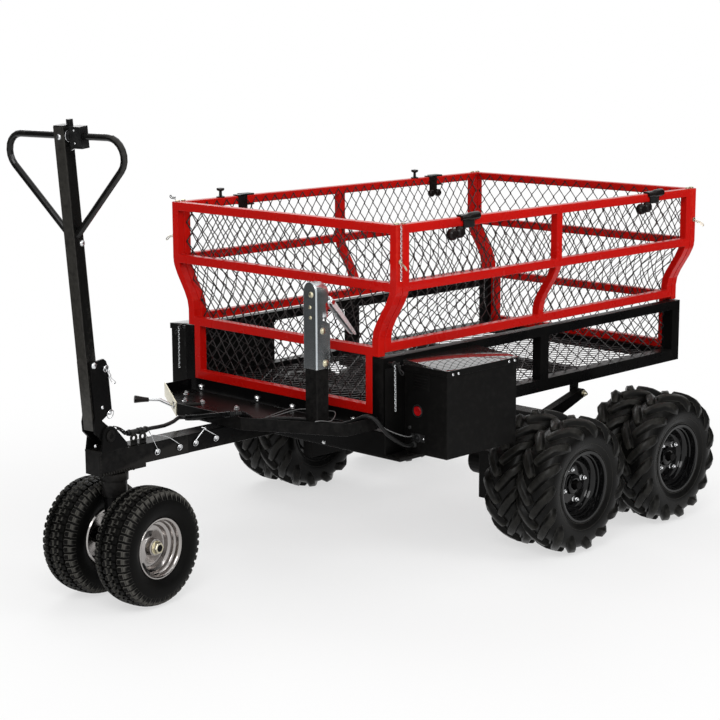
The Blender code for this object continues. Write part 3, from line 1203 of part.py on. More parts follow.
def main():
    clear_scene()
    cart = pivot("cart", (0, 0, 0))
    chassis_spine(cart)
    tongue_head(cart)
    front_crossmember(cart)
    rear_subframe(cart)
    tray(cart)
    latch_plate(cart)
    a, run, out, _ = far_edge_frame()
    dump_lever(pivot("dump_latch_axis", a + run * SLOT_PLACE - out * LEVER_INSIDE, cart))
    near_case = battery_box("near", -1, cart)
    battery_box("far", 1, cart)
    switch_axis = pivot("power_switch_axis", (along(BOX_FRONT) + 0.001, -BOX_Y - SWITCH_INSET, SWITCH_Z), cart)
    power_switch(near_case, cart, switch_axis)
    latch_axis = pivot("coupler_latch_axis", (along(POST_PLACE[0]) + LATCH_REACH, POST_PLACE[1], LATCH_Z), cart)
    coupler(cart, latch_axis)
    wiring(cart)

    bed = pivot("dump_hinge_axis", (along(HINGE_PLACE), 0, HINGE_Z), cart)
    bed_frame(bed)
    floor_sheet(bed)
    for tag, side in (("near", -1), ("far", 1)):
        lower_side_sheet("lower_mesh_" + tag, side, bed)
        side_panel("side_panel_" + tag, side, bed)
        side_sheet("side_mesh_" + tag, side, bed)
        for n, place in enumerate(CLAMP_PLACES):
            rail_clamp("rail_clamp_%s_%d" % (tag, n + 1), place, side, bed)
    front_lift = pivot("front_gate_guide", (along(0.0), 0, BED_RAIL_Z), bed)
    gate("front_gate", 0.0, front_lift)
    gate_sheet("front_gate_mesh", 0.0, 1, front_lift)
    rear_lift = pivot("rear_gate_guide", (along(BED_LENGTH), 0, BED_RAIL_Z), bed)
    gate("rear_gate", BED_LENGTH - PANEL_TUBE, rear_lift)
    gate_sheet("rear_gate_mesh", BED_LENGTH - PANEL_TUBE, -1, rear_lift)

    tyre = lugged_tyre("lugged_tyre")
    for tag, side in (("near", -1), ("far", 1)):
        beam = pivot("beam_axis_" + tag, (BEAM_X, side * CASE_INNER_Y, PIVOT_Z), cart)
        drive_case(tag, side, beam)
        rim = dual_rim("dual_rim_" + tag, side)
        middle_y = side * (INNER_TYRE_Y + DUAL_SPACING / 2)
        for end, place in (("front", -TANDEM_SPACING / 2), ("rear", TANDEM_SPACING / 2)):
            label = "%s_%s" % (tag, end)
            axle = pivot("rear_axle_" + label, (BEAM_X + place, middle_y, TYRE_RADIUS), beam)
            put_shared("dual_rim_" + label, rim, axle, (0, 0, 0))
            put_shared("inner_tyre_" + label, tyre, axle, (0, -side * DUAL_SPACING / 2, 0))
            put_shared("outer_tyre_" + label, tyre, axle, (0, side * DUAL_SPACING / 2, 0))

    steering = pivot("steering_axis", (along(STEER_AXIS), 0, SPINE_TOP_Z), cart)
    front_fork(steering)
    turf = turf_tyre("turf_tyre")
    for tag, side in (("near", -1), ("far", 1)):
        axle = pivot("front_axle_" + tag, (along(FRONT_AXLE), side * FRONT_TYRE_Y, FRONT_TYRE_RADIUS), steering)
        put_shared("front_rim_" + tag, front_rim("front_rim_" + tag, side), axle, (0, 0, 0))
        put_shared("front_tyre_" + tag, turf, axle, (0, 0, 0))
    tilt = pivot("handle_tilt_axis", (along(TILT_AXIS), 0, TILT_Z), steering)
    steering_yoke(steering)
    handle_bracket(tilt)
    steering_handle(tilt)
    bar = leaned_point((-MAST_OFFSET, -MAST_TUBE / 2, LOOP_BAR))
    throttle(tilt, pivot("throttle_axis", bar, tilt))
    steering.rotation_euler.z = STEER_REST
    bpy.context.view_layer.update()
    for thing in bpy.data.objects:
        if thing.type == 'EMPTY':
            print(thing.name, [round(v, 5) for v in thing.matrix_world.translation])


main()
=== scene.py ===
import json
import math

import bmesh
import bpy
from mathutils import Matrix, Vector


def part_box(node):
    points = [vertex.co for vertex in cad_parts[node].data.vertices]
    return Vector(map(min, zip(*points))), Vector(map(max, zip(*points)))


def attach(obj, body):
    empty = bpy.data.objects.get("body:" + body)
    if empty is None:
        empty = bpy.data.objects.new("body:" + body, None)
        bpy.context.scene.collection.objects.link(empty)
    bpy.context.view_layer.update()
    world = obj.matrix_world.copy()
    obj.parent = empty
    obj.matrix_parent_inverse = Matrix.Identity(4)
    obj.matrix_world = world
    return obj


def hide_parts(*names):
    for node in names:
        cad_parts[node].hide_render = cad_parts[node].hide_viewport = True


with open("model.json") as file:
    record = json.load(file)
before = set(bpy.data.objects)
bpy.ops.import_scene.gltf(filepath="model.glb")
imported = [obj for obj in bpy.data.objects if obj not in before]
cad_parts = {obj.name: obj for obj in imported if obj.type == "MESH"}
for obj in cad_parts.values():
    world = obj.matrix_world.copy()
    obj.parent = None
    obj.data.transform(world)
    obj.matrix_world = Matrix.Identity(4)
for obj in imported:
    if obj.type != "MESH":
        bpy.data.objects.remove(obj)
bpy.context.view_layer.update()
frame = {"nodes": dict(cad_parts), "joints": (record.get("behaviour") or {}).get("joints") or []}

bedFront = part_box("front_gate")[0][0]
pivots = {joint["name"]: Vector(joint["pos_m"]) for joint in frame["joints"] if "pos_m" in joint}
frontAxle = pivots["front_wheel_near_spin"] - pivots["front_wheel_far_spin"]
steerTurn = math.atan2(frontAxle.x, -frontAxle.y)     # the front wheels and handle stand turned this far at rest
steerFrame = Matrix.Translation((pivots["steering"].x, 0, 0)) @ Matrix.Rotation(steerTurn, 4, "Z")
sides = (("near", -1), ("far", 1))


def at(x):  # world X of a place measured from the bed's front face
    return bedFront + x


def fromBed(points):
    return [(at(x), y, z) for x, y, z in points]


def mm(*points):  # metres from millimetres
    return [tuple(value / 1000 for value in point) for point in points]


# Camera, floor and light

view = {
    "place": (at(-3.4971), -3.7182, 1.5442),
    "yaw": 0.7706,        # radians from +X towards +Y
    "pitch": -0.1891,
    "roll": -0.0034,
    "lens": 90.62,        # on a 36 mm sensor
}


def link(thing):
    bpy.context.scene.collection.objects.link(thing)
    return thing


def addCamera():
    data = bpy.data.cameras.new("camera")
    data.sensor_width = 36
    data.lens = view["lens"]
    data.clip_end = 100
    yaw, pitch, roll = view["yaw"], view["pitch"], view["roll"]
    ahead = Vector((math.cos(pitch) * math.cos(yaw), math.cos(pitch) * math.sin(yaw), math.sin(pitch)))
    flat = Vector((math.sin(yaw), -math.cos(yaw), 0))
    lift = flat.cross(ahead)
    right = flat * math.cos(roll) + lift * math.sin(roll)
    up = lift * math.cos(roll) - flat * math.sin(roll)
    camera = link(bpy.data.objects.new("camera", data))
    camera.matrix_world = Matrix.Translation(view["place"]) @ Matrix((right, up, -ahead)).transposed().to_4x4()
    bpy.context.scene.camera = camera


studio = {
    "floorSize": 60.0,
    "floorColour": (0.95, 0.95, 0.95, 1),
    "glow": (0.62, 0.9, 2.4),           # share of plain white under the cart, and where the floor turns all white
    "fill": 0.55,                       # what the world gives to matt surfaces
    "lamps": {                          # x, y, z, size, watts
        "key": (-3.2, -2.6, 3.6, 2.6, 88),
        "side": (1.6, -4.2, 2.6, 2.4, 55),
        "back": (1.5, 3.4, 3.4, 3.0, 65),
    },
    "cards": ((-1.72, 1.67), (1.72, -1.67)),   # dark cards beside the cart, which only reflections see
    "cardSize": (3.8, 2.3),
    "cardGrey": (0.1, 0.1, 0.1, 1),
}


def feed(socket, value):  # gives an input its value, or joins it to an output
    if isinstance(value, bpy.types.NodeSocket):
        socket.id_data.links.new(value, socket)
    else:
        socket.default_value = value


def addNode(tree, kind, *first, **values):  # a node with its first inputs, then inputs and settings by name
    node = tree.nodes.new(kind)
    for name, value in [*enumerate(first), *values.items()]:
        if isinstance(name, str) and name not in node.inputs:
            setattr(node, name, value)
        else:
            feed(node.inputs[name], value)
    return node


def setInputs(node, **values):  # underscores stand for the blanks in an input's name
    for name, value in values.items():
        feed(node.inputs[name.replace("_", " ")], value)
    return node


def newMaterial(name, **values):
    made = bpy.data.materials.new(name)
    made.use_nodes = True
    return made, made.node_tree, setInputs(made.node_tree.nodes["Principled BSDF"], **values)


def addSeen(tree):  # 1 where the camera sees it straight, in a reflection or through glass
    path = addNode(tree, "ShaderNodeLightPath").outputs
    either = addNode(tree, "ShaderNodeMath", path["Is Camera Ray"], path["Is Glossy Ray"], operation="MAXIMUM")
    return addNode(tree, "ShaderNodeMath", either.outputs[0], path["Is Transmission Ray"], operation="MAXIMUM").outputs[0]


def addStagePiece(name, corners, material):
    mesh = bpy.data.meshes.new(name)
    mesh.from_pydata(corners, [], [(0, 1, 2, 3)])
    mesh.materials.append(material)
    piece = link(bpy.data.objects.new(name, mesh))
    return piece


def addFloor():
    paper, tree, shader = newMaterial("floorPaper", Base_Color=studio["floorColour"], Roughness=0.9, Specular_IOR_Level=0.0)
    white = addNode(tree, "ShaderNodeEmission", Color=(1, 1, 1, 1))
    reach = addNode(tree, "ShaderNodeVectorMath", addNode(tree, "ShaderNodeTexCoord").outputs["Object"], operation="LENGTH")
    least, start, end = studio["glow"]
    fade = addNode(tree, "ShaderNodeMapRange", reach.outputs["Value"], start, end, least, interpolation_type="SMOOTHSTEP")
    share = addNode(tree, "ShaderNodeMath", addSeen(tree), fade.outputs["Result"], operation="MULTIPLY")
    both = addNode(tree, "ShaderNodeMixShader", share.outputs[0], shader.outputs[0], white.outputs[0])
    setInputs(tree.nodes["Material Output"], Surface=both.outputs[0])
    half = studio["floorSize"] / 2
    addStagePiece("floor", [(-half, -half, 0), (half, -half, 0), (half, half, 0), (-half, half, 0)], paper)


def addCards():
    width, height = studio["cardSize"]
    for number, (x, y) in enumerate(studio["cards"]):
        along = Vector((-y, x, 0)).normalized() * width / 2
        foot, lift = Vector((x, y, 0)), Vector((0, 0, height))
        cloth = newMaterial("cardCloth", Base_Color=studio["cardGrey"], Specular_IOR_Level=0.0, Roughness=1.0)[0]
        card = addStagePiece("card_%d" % number, [foot - along, foot + along, foot + along + lift, foot - along + lift], cloth)
        card.visible_camera = card.visible_diffuse = card.visible_shadow = card.visible_transmission = False


def addStudio():
    scene = bpy.context.scene
    scene.view_settings.view_transform = "Standard"
    scene.world = bpy.data.worlds.new("studio")
    scene.world.use_nodes = True
    tree = scene.world.node_tree
    level = setInputs(addNode(tree, "ShaderNodeMapRange", addSeen(tree)), To_Min=studio["fill"])
    setInputs(tree.nodes["Background"], Color=(1, 1, 1, 1), Strength=level.outputs["Result"])
    addFloor()
    addCards()
    for name, (x, y, z, size, watts) in studio["lamps"].items():
        data = bpy.data.lights.new(name, "AREA")
        data.shape = "DISK"
        data.size = size
        data.energy = watts
        lamp = link(bpy.data.objects.new(name, data))
        lamp.location = (x, y, z)
        lamp.rotation_euler = (Vector((0, 0, 0.5)) - lamp.location).to_track_quat("-Z", "Y").to_euler()


addCamera()
addStudio()
print("camera, floor and lights")


# Materials

def newGroup(name, takes, gives):
    tree = bpy.data.node_groups.new(name, "ShaderNodeTree")
    for title, value in takes.items():
        tree.interface.new_socket(title, in_out="INPUT", socket_type="NodeSocketFloat").default_value = value
    for title in gives:
        tree.interface.new_socket(title, in_out="OUTPUT", socket_type="NodeSocketFloat")
    return tree, tree.nodes.new("NodeGroupInput").outputs, tree.nodes.new("NodeGroupOutput")


def addNoise(tree, scale, detail, roughness):
    where = addNode(tree, "ShaderNodeTexCoord").outputs["Object"]
    return addNode(tree, "ShaderNodeTexNoise", Vector=where, Scale=scale, Detail=detail, Roughness=roughness).outputs["Fac"]


def makeSkinGroup():  # orange peel for the bump, and slow patches for colour and gloss
    tree, given, out = newGroup("coatingSkin", {"Grain": 900.0, "Patch": 9.0}, ("Peel", "Patches"))
    setInputs(out, Peel=addNoise(tree, given["Grain"], 2.0, 0.5), Patches=addNoise(tree, given["Patch"], 5.0, 0.62))
    return tree


def makeWearGroup():  # a broken mask along outer edges
    tree, given, out = newGroup("edgeWear", {"Reach": 0.56, "Scale": 60.0}, ("Mask",))
    edges = addNode(tree, "ShaderNodeNewGeometry").outputs["Pointiness"]
    shift = addNode(tree, "ShaderNodeMath", addNoise(tree, given["Scale"], 6.0, 0.7), 0.1, edges, operation="MULTIPLY_ADD")
    top = addNode(tree, "ShaderNodeMath", given["Reach"], 0.06, operation="ADD")
    rise = addNode(tree, "ShaderNodeMapRange", shift.outputs[0], given["Reach"], top.outputs[0])
    setInputs(out, Mask=rise.outputs["Result"])
    return tree


def makeDustGroup():  # thin dust on faces that look up
    tree, given, out = newGroup("settledDust", {"Amount": 0.3, "Scale": 26.0}, ("Mask",))
    split = addNode(tree, "ShaderNodeSeparateXYZ", addNode(tree, "ShaderNodeNewGeometry").outputs["Normal"])
    up = addNode(tree, "ShaderNodeMapRange", split.outputs["Z"], 0.35)
    noise = addNoise(tree, given["Scale"], 7.0, 0.68)
    both = addNode(tree, "ShaderNodeMath", up.outputs["Result"], noise, operation="MULTIPLY")
    scaled = addNode(tree, "ShaderNodeMath", both.outputs[0], given["Amount"], operation="MULTIPLY", use_clamp=True)
    setInputs(out, Mask=scaled.outputs[0])
    return tree


skinGroup = makeSkinGroup()
wearGroup = makeWearGroup()
dustGroup = makeDustGroup()


def placeGroup(tree, group, **values):
    node = tree.nodes.new("ShaderNodeGroup")
    node.node_tree = group
    return setInputs(node, **values).outputs


finishes = {
    # colour, patch colour, worn colour, metallic, roughness low/high, bump metres, grain, patch, wear reach, dust, coat, specular
    "redPaint": ((0.53, 0.0048, 0.002), (0.47, 0.0034, 0.0016), (0.64, 0.03, 0.015), 0, (0.2, 0.32), 0.00006, 700, 7, 0.6, 0.02, 0, 0.14),
    "blackPaint": ((0.0026, 0.0026, 0.0029), (0.004, 0.0038, 0.0036), (0.018, 0.017, 0.016), 0, (0.22, 0.36), 0.00007, 800, 8, 0.6, 0.02, 0, 0.06),
    "tubeBlack": ((0.0036, 0.0035, 0.0033), (0.0052, 0.005, 0.0046), (0.04, 0.038, 0.034), 0, (0.1, 0.17), 0.00005, 700, 8, 0.58, 0.02, 0, 0.26),
    "satinBlack": ((0.0026, 0.0025, 0.0024), (0.004, 0.0038, 0.0036), (0.016, 0.015, 0.014), 0, (0.4, 0.52), 0.00008, 900, 6, 0.62, 0.02, 0, 0.08),
    "dippedBlack": ((0.006, 0.0048, 0.0046), (0.0105, 0.007, 0.0062), (0.03, 0.025, 0.025), 0, (0.18, 0.3), 0.00005, 500, 14, 0.7, 0.02, 0, 0.2),
    "zincPlate": ((0.6, 0.64, 0.66), (0.5, 0.54, 0.57), (0.82, 0.84, 0.85), 1, (0.12, 0.2), 0.00003, 260, 12, 0.58, 0, 0, 0.5),
    "dullZinc": ((0.2, 0.215, 0.22), (0.15, 0.16, 0.165), (0.9, 0.91, 0.92), 0.45, (0.22, 0.34), 0.00003, 300, 20, 0.5, 0, 0, 0.5),
    "yellowZinc": ((0.62, 0.56, 0.38), (0.5, 0.47, 0.36), (0.78, 0.74, 0.6), 1, (0.22, 0.38), 0.00005, 300, 18, 0.62, 0, 0, 0.5),
    "brightSteel": ((0.78, 0.79, 0.8), (0.66, 0.67, 0.68), (0.85, 0.85, 0.85), 1, (0.1, 0.22), 0.00003, 500, 60, 0.66, 0, 0, 0.5),
    "silverPaint": ((0.42, 0.4, 0.385), (0.33, 0.31, 0.3), (0.66, 0.66, 0.67), 1, (0.1, 0.2), 0.00004, 900, 9, 0.64, 0, 0, 0.5),
    "rimBlack": ((0.003, 0.003, 0.0032), (0.0045, 0.0045, 0.0045), (0.015, 0.015, 0.015), 0, (0.06, 0.12), 0.00004, 600, 10, 0.66, 0, 0, 0.3),
    "lugRubber": ((0.003, 0.003, 0.003), (0.0052, 0.005, 0.0044), (0.026, 0.025, 0.022), 0, (0.24, 0.4), 0.0002, 420, 11, 0.58, 0.03, 0, 0.11),
    "turfRubber": ((0.0026, 0.0026, 0.0025), (0.0042, 0.004, 0.0036), (0.085, 0.082, 0.074), 0, (0.4, 0.6), 0.00018, 420, 12, 0.6, 0.006, 0, 0.06),
    "mouldedBlack": ((0.005, 0.005, 0.0052), (0.0075, 0.0075, 0.0075), (0.03, 0.03, 0.03), 0, (0.3, 0.44), 0.00012, 1500, 12, 0.6, 0.02, 0, 0.18),
    "lampRed": ((0.4, 0.004, 0.006), (0.26, 0.002, 0.003), (0.7, 0.06, 0.06), 0, (0.1, 0.18), 0.00002, 300, 40, 0.62, 0, 1, 0.5),
    "cableSheath": ((0.006, 0.006, 0.006), (0.01, 0.01, 0.01), (0.03, 0.03, 0.03), 0, (0.34, 0.46), 0.00008, 900, 20, 0.66, 0, 0, 0.2),
    "greyCable": ((0.2, 0.2, 0.2), (0.15, 0.15, 0.15), (0.32, 0.32, 0.32), 0, (0.34, 0.46), 0.00006, 900, 30, 0.66, 0, 0, 0.5),
}
dustColour = (0.3, 0.27, 0.24, 1)
lidCoat = {"Coat_Weight": 1.0, "Coat_Roughness": 0.02, "Coat_IOR": 3.9}   # the battery lids' lacquer


def mixColours(tree, share, a, b):  # a colour mix: sockets 0, 6 and 7 are its share and colours, and output 2 its result
    mix = addNode(tree, "ShaderNodeMix", data_type="RGBA")
    for socket, value in ((0, share), (6, a), (7, b)):
        feed(mix.inputs[socket], value)
    return mix.outputs[2]


def makeMaterial(name):
    colour, patch, worn, metal, (low, high), bump, grain, patchSize, reach, dusty, coat, specular = finishes[name]
    made, tree, shader = newMaterial(name, Metallic=metal, Coat_Weight=coat, Coat_Roughness=0.08, Specular_IOR_Level=specular)
    skin = placeGroup(tree, skinGroup, Grain=grain, Patch=patchSize)
    wear = placeGroup(tree, wearGroup, Reach=reach)
    contrast = addNode(tree, "ShaderNodeMapRange", skin["Patches"], 0.35, 0.68)
    mix = mixColours(tree, contrast.outputs["Result"], (*colour, 1), (*patch, 1))
    mix = mixColours(tree, wear["Mask"], mix, (*worn, 1))
    if dusty:
        mix = mixColours(tree, placeGroup(tree, dustGroup, Amount=dusty)["Mask"], mix, dustColour)
    gloss = addNode(tree, "ShaderNodeMapRange", skin["Patches"], 0.3, 0.7, low, high)
    relief = addNode(tree, "ShaderNodeBump", Strength=0.6, Distance=bump, Height=skin["Peel"])
    setInputs(shader, Base_Color=mix, Roughness=gloss.outputs["Result"], Normal=relief.outputs["Normal"])
    return made


materials = {name: makeMaterial(name) for name in finishes}
materials["lidGloss"] = materials["blackPaint"].copy()
materials["lidGloss"].name = "lidGloss"
setInputs(materials["lidGloss"].node_tree.nodes["Principled BSDF"], **lidCoat)
print("materials")


# Mesh tools

def meshOf(name, bm, finish, angle=38, smooth=True):
    bmesh.ops.recalc_face_normals(bm, faces=bm.faces)
    mesh = bpy.data.meshes.new(name)
    bm.to_mesh(mesh)
    bm.free()
    mesh.materials.append(materials[finish])
    if smooth:
        mesh.shade_smooth()
        mesh.set_sharp_from_angle(angle=math.radians(angle))
    return mesh


def place(name, bm, finish, body, stands=(), matrix=None, smooth=True):
    if matrix is not None:
        bmesh.ops.transform(bm, matrix=matrix, verts=bm.verts)
    return placeMesh(name, meshOf(name, bm, finish, smooth=smooth), body, stands)


def placeMesh(name, mesh, body, stands=(), matrix=None):
    thing = link(bpy.data.objects.new(name, mesh))
    if matrix is not None:
        thing.matrix_world = matrix
    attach(thing, body)
    if stands:
        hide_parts(*stands)
    return thing


def addBox(bm, low, high, bevel):
    low, high = Vector(low), Vector(high)
    made = bmesh.ops.create_cube(bm, size=1.0)["verts"]
    for vert in made:
        vert.co = (low + high) / 2 + vert.co * (high - low)
    edges = {edge for vert in made for edge in vert.link_edges}
    bmesh.ops.bevel(bm, geom=list(edges), offset=bevel, segments=2, profile=0.6, affect="EDGES")


def loop(count, middle=(0, 0, 0), a=(1, 0, 0), b=(0, 1, 0)):  # points round an ellipse with the half axes a and b
    middle, a, b = Vector(middle), Vector(a), Vector(b)
    return [middle + a * math.cos(t) + b * math.sin(t) for t in [2 * math.pi * n / count for n in range(count)]]


def addLoft(bm, rows, closed=False, caps=(True, True)):
    # a skin over rows of points; a row is a ring, or one point where a turned shape meets its axis
    rings = [[bm.verts.new(point) for point in row] for row in rows]
    count = max(map(len, rings))
    for a, b in zip(rings, rings[1:] + (rings[:1] if closed else [])):
        for n in range(count):
            m = (n + 1) % count
            corners = list(dict.fromkeys((a[n % len(a)], a[m % len(a)], b[m % len(b)], b[n % len(b)])))
            if len(corners) > 2:
                bm.faces.new(corners)
    if caps[0] and not closed:
        bm.faces.new(rings[0][::-1])
    if caps[1] and not closed:
        bm.faces.new(rings[-1])
    return rings


def addTurned(bm, profile, start, axis, count=20, closed=True):  # a profile of (radius, height) turned round an axis
    spin = Matrix.Translation(start) @ Vector(axis).normalized().to_track_quat("Z", "Y").to_matrix().to_4x4()
    rows = [[spin @ point for point in loop(count if radius else 1, (0, 0, height), (radius, 0, 0), (0, radius, 0))] for radius, height in profile]
    addLoft(bm, rows, closed, (False, False))


def addTube(bm, points, radius, count=8, closed=False):
    points = [Vector(p) for p in points]
    last = len(points) - 1
    rows, normal = [], None
    for n, point in enumerate(points):
        before = points[n - 1] if n or closed else point
        after = points[(n + 1) % len(points)] if n < last or closed else point
        run = (after - before).normalized()
        normal = run.orthogonal().normalized() if normal is None else (normal - run * normal.dot(run)).normalized()
        size = radius(n / last) if callable(radius) else radius
        rows.append(loop(count, point, normal * size, run.cross(normal) * size))
    addLoft(bm, rows, closed)


def smoothPath(points, steps=6):  # Catmull-Rom through the points
    points = [Vector(p) for p in points]
    padded = [points[0]] + points + [points[-1]]
    path = []
    for a, b, c, d in zip(padded, padded[1:], padded[2:], padded[3:]):
        for n in range(steps):
            t = n / steps
            path.append(0.5 * (2 * b + (c - a) * t + (2 * a - 5 * b + 4 * c - d) * t ** 2 + (3 * b - a - 3 * c + d) * t ** 3))
    return path + [points[-1]]


def addDisc(bm, radius, height, start, axis, count=20):
    addTurned(bm, [(0, 0), (radius, 0), (radius, height), (0, height)], start, axis, count)


def addHexBolt(bm, spot, axis, size):  # a washer, a nut and the end of the bolt
    axis, spot = Vector(axis).normalized(), Vector(spot)
    head, end = size * 0.66, size * 0.45
    addTurned(bm, [(0, 0), (size * 1.15, 0), (size * 1.15, size * 0.14), (size * 1.05, size * 0.2), (0, size * 0.2)], spot, axis)
    spot += axis * size * 0.2
    addTurned(bm, [(0, 0), (size * 0.86, 0), (size * 0.86, head * 0.82), (size * 0.74, head), (0, head)], spot, axis, 6)
    spot += axis * head
    addTurned(bm, [(0, 0), (end, 0), (end, head * 0.5), (end * 0.8, head * 0.62), (0, head * 0.62)], spot, axis, 14)


def addDomeBolt(bm, spot, axis, radius):
    arc = [(radius * math.cos(t), radius * 0.55 * math.sin(t)) for t in [math.pi / 2 * n / 5 for n in range(5)]]
    addTurned(bm, [(0, 0)] + arc + [(0, radius * 0.55)], spot, axis, 18)


loom = {   # the CAD model's cord
    "radius": 0.0055,
    "steps": 2,
    "sleeve": (-0.33, -0.196, 0.075),   # where the corrugated sleeve starts and ends along the cart, and its greatest Y
    "sleeveAfter": 0.2,                  # metres of loom before it
    "rib": 0.0088,
    "pitch": 0.0052,
    "route": (
        (-0.497, -0.012, 0.4523), (-0.48, -0.012, 0.4523), (-0.43, 0.0, 0.4483), (-0.36, 0.042, 0.4423), (-0.305, 0.086, 0.437),
        (-0.286, 0.07, 0.436), (-0.283, 0.024, 0.444), (-0.283, -0.03, 0.456), (-0.281, -0.08, 0.4665), (-0.268, -0.112, 0.4725),
        (-0.245, -0.122, 0.4665), (-0.215, -0.12, 0.4455), (-0.18, -0.112, 0.4395), (-0.13, -0.13, 0.4395), (-0.095, -0.19, 0.4395),
        (-0.082, -0.26, 0.4395), (-0.072, -0.325, 0.4435), (-0.06, -0.366, 0.4605), (-0.05, -0.398, 0.4735), (-0.035, -0.42, 0.4605),
        (-0.012, -0.436, 0.423), (0.035, -0.452, 0.387), (0.068, -0.452, 0.381), (0.079, -0.452, 0.381)),
}


def makeSleeve(points):
    start, end, widest = loom["sleeve"]
    foot = loom["radius"] + 0.0002
    bm = bmesh.new()
    travelled, nextRib = 0.0, 0.0
    for a, b in zip(points, points[1:]):
        run = (b - a).length
        while nextRib < travelled + run:
            spot = a.lerp(b, (nextRib - travelled) / run)
            if at(start) < spot.x < at(end) and spot.y < widest and travelled > loom["sleeveAfter"]:
                addTurned(bm, [(foot, -0.0016), (loom["rib"], -0.0009), (loom["rib"], 0.0009), (foot, 0.0016)], spot, b - a, 12)
            nextRib += loom["pitch"]
        travelled += run
    return place("loomSleeve", bm, "rimBlack", "chassis")


def makeLoom():
    radius = loom["radius"]
    points = smoothPath(fromBed(loom["route"]), loom["steps"])
    sleeve = makeSleeve(points)
    curve = bpy.data.curves.new("wiringLoom", "CURVE")
    curve.dimensions = "3D"
    curve.bevel_depth = radius
    curve.bevel_resolution = 4
    curve.use_fill_caps = True
    spline = curve.splines.new("POLY")
    spline.points.add(len(points) - 1)
    for point, spot in zip(spline.points, points):
        point.co = (*spot, 1)
    curve.materials.append(materials["cableSheath"])
    piece = link(bpy.data.objects.new("wiringLoom", curve))
    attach(piece, "chassis")
    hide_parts("wiring_loom")


makeLoom()


# CAD nodes that keep their shape and get a finish and rounded edges

dressed = (   # nodes, finish, width of the rounding, and the least angle of an edge that gets it
    (("side_panel_near", "side_panel_far", "front_gate", "rear_gate"), "redPaint", 0.0022, 30),
    (("bed_frame", "chassis_spine", "front_crossmember", "rear_subframe", "coupler_post"), "blackPaint", 0.0022, 30),
    (("tongue_head",), "blackPaint", 0.003, 30),
    (("front_tray",), "blackPaint", 0.0012, 30),
    (("steering_handle",), "tubeBlack", 0.002, 50),
    (("handle_bracket", "steering_yoke"), "blackPaint", 0.001, 30),
    (("front_fork",), "blackPaint", 0.0012, 50),
    (("drive_case_near", "drive_case_far"), "satinBlack", 0.003, 40),
    (("battery_box_near", "battery_box_far", "battery_lid_near", "battery_lid_far"), "satinBlack", 0.0012, 30),
    (("tray_latch_plate",), "yellowZinc", 0.0006, 30),
    (("tandem_pivot_shaft",), "zincPlate", 0.0015, 50),
    (("tilt_pin",), "blackPaint", 0.001, 50),
    (("power_switch",), "lampRed", 0.0008, 30),
    (("throttle_housing", "throttle_lever"), "mouldedBlack", 0.0012, 50),
    (("harness_connector",), "mouldedBlack", 0.001, 50),
    (("handle_lead",), "cableSheath", 0, 0),   # shorter than a cord may be
    (("rail_clamp_near_1", "rail_clamp_near_2", "rail_clamp_far_1", "rail_clamp_far_2"), "mouldedBlack", 0.001, 30),
)


def dress(node, finish, bevel, angle):
    thing = frame["nodes"][node]
    thing.data.materials.clear()
    thing.data.materials.append(materials[finish])
    if bevel:
        thing.modifiers.new("weld", "WELD").merge_threshold = 0.00002
        flat = thing.modifiers.new("flatten", "DECIMATE")
        flat.decimate_type = "DISSOLVE"
        flat.angle_limit = math.radians(1.0)
        rounding = thing.modifiers.new("edges", "BEVEL")
        rounding.width = bevel
        rounding.segments = 2
        rounding.limit_method = "ANGLE"
        rounding.angle_limit = math.radians(angle)


def dressAll():
    for nodes, *look in dressed:
        for node in nodes:
            dress(node, *look)


dressAll()
print("frames")


# Expanded metal

expanded = {
    "long": 0.057,      # diamond, long way
    "short": 0.04,     # diamond, short way
    "strand": 0.0026,
    "thick": 0.0016,
    "bond": 0.0075,     # length of a crossing along the long way
    "rise": 0.0012,     # how far the strands lean out of the sheet
    "flare": (0.675, 0.825, 0.066),   # the bent sides lean out between these heights, by this much
    "sideLate": 0.02,  # how much higher the side sheets bend
    "sideOut": 0.0015,  # and how far they stand off the CAD sheet's foot
}


def addBar(bm, a, b, width, across, out):  # a flat strand from a to b
    wide, deep = across * width / 2, out * expanded["thick"] / 2
    addLoft(bm, [[point - wide - deep, point + wide - deep, point + wide + deep, point - wide + deep] for point in (a, b)])


def makeSheet(name, length, height, node, body, put, longUp=True):
    # put(u, v, out) gives the place of a point of the sheet; the long way of a diamond runs along v, or along u
    pu, pv = (expanded["short"], expanded["long"]) if longUp else (expanded["long"], expanded["short"])
    columns, rows = max(round(length / pu), 1), max(round(height / pv), 1)
    pu, pv = length / columns, height / rows
    bond, strand, rise = expanded["bond"] / 2, expanded["strand"], expanded["rise"]
    bm = bmesh.new()

    def spot(u, v, out):
        return Vector(put(min(max(u, 0), length), min(max(v, 0), height), out))

    def aside(u, v, along, across, out):  # a point away from the crossing at u, v: along the long way, and across it
        return spot(u + across, v + along, out) if longUp else spot(u + along, v + across, out)

    for i in range(2 * columns + 1):
        for j in range(i % 2, 2 * rows + 1, 2):
            u, v = i * pu / 2, j * pv / 2
            low, high = aside(u, v, -bond, 0, rise), aside(u, v, bond, 0, -rise)
            out = (spot(u, v, 1) - spot(u, v, 0)).normalized()
            if (high - low).length > 1e-4:
                addBar(bm, low, high, strand * 1.9, out.cross((high - low).normalized()).normalized(), out)
            for turn in (1, -1):
                di, dj = (turn, 1) if longUp else (1, turn)
                if not (0 <= i + di <= 2 * columns and 0 <= j + dj <= 2 * rows):
                    continue
                shift = turn * strand * 0.35
                a, b = aside(u, v, bond * 0.8, shift, -rise), aside((i + di) * pu / 2, (j + dj) * pv / 2, -bond * 0.8, -shift, rise)
                run = (b - a).normalized()
                tilt = (out.cross(run).normalized() + out * 0.35).normalized()
                addBar(bm, a, b, strand, tilt, run.cross(tilt).normalized())
    return place(name, bm, "dippedBlack", body, (node,), smooth=False)


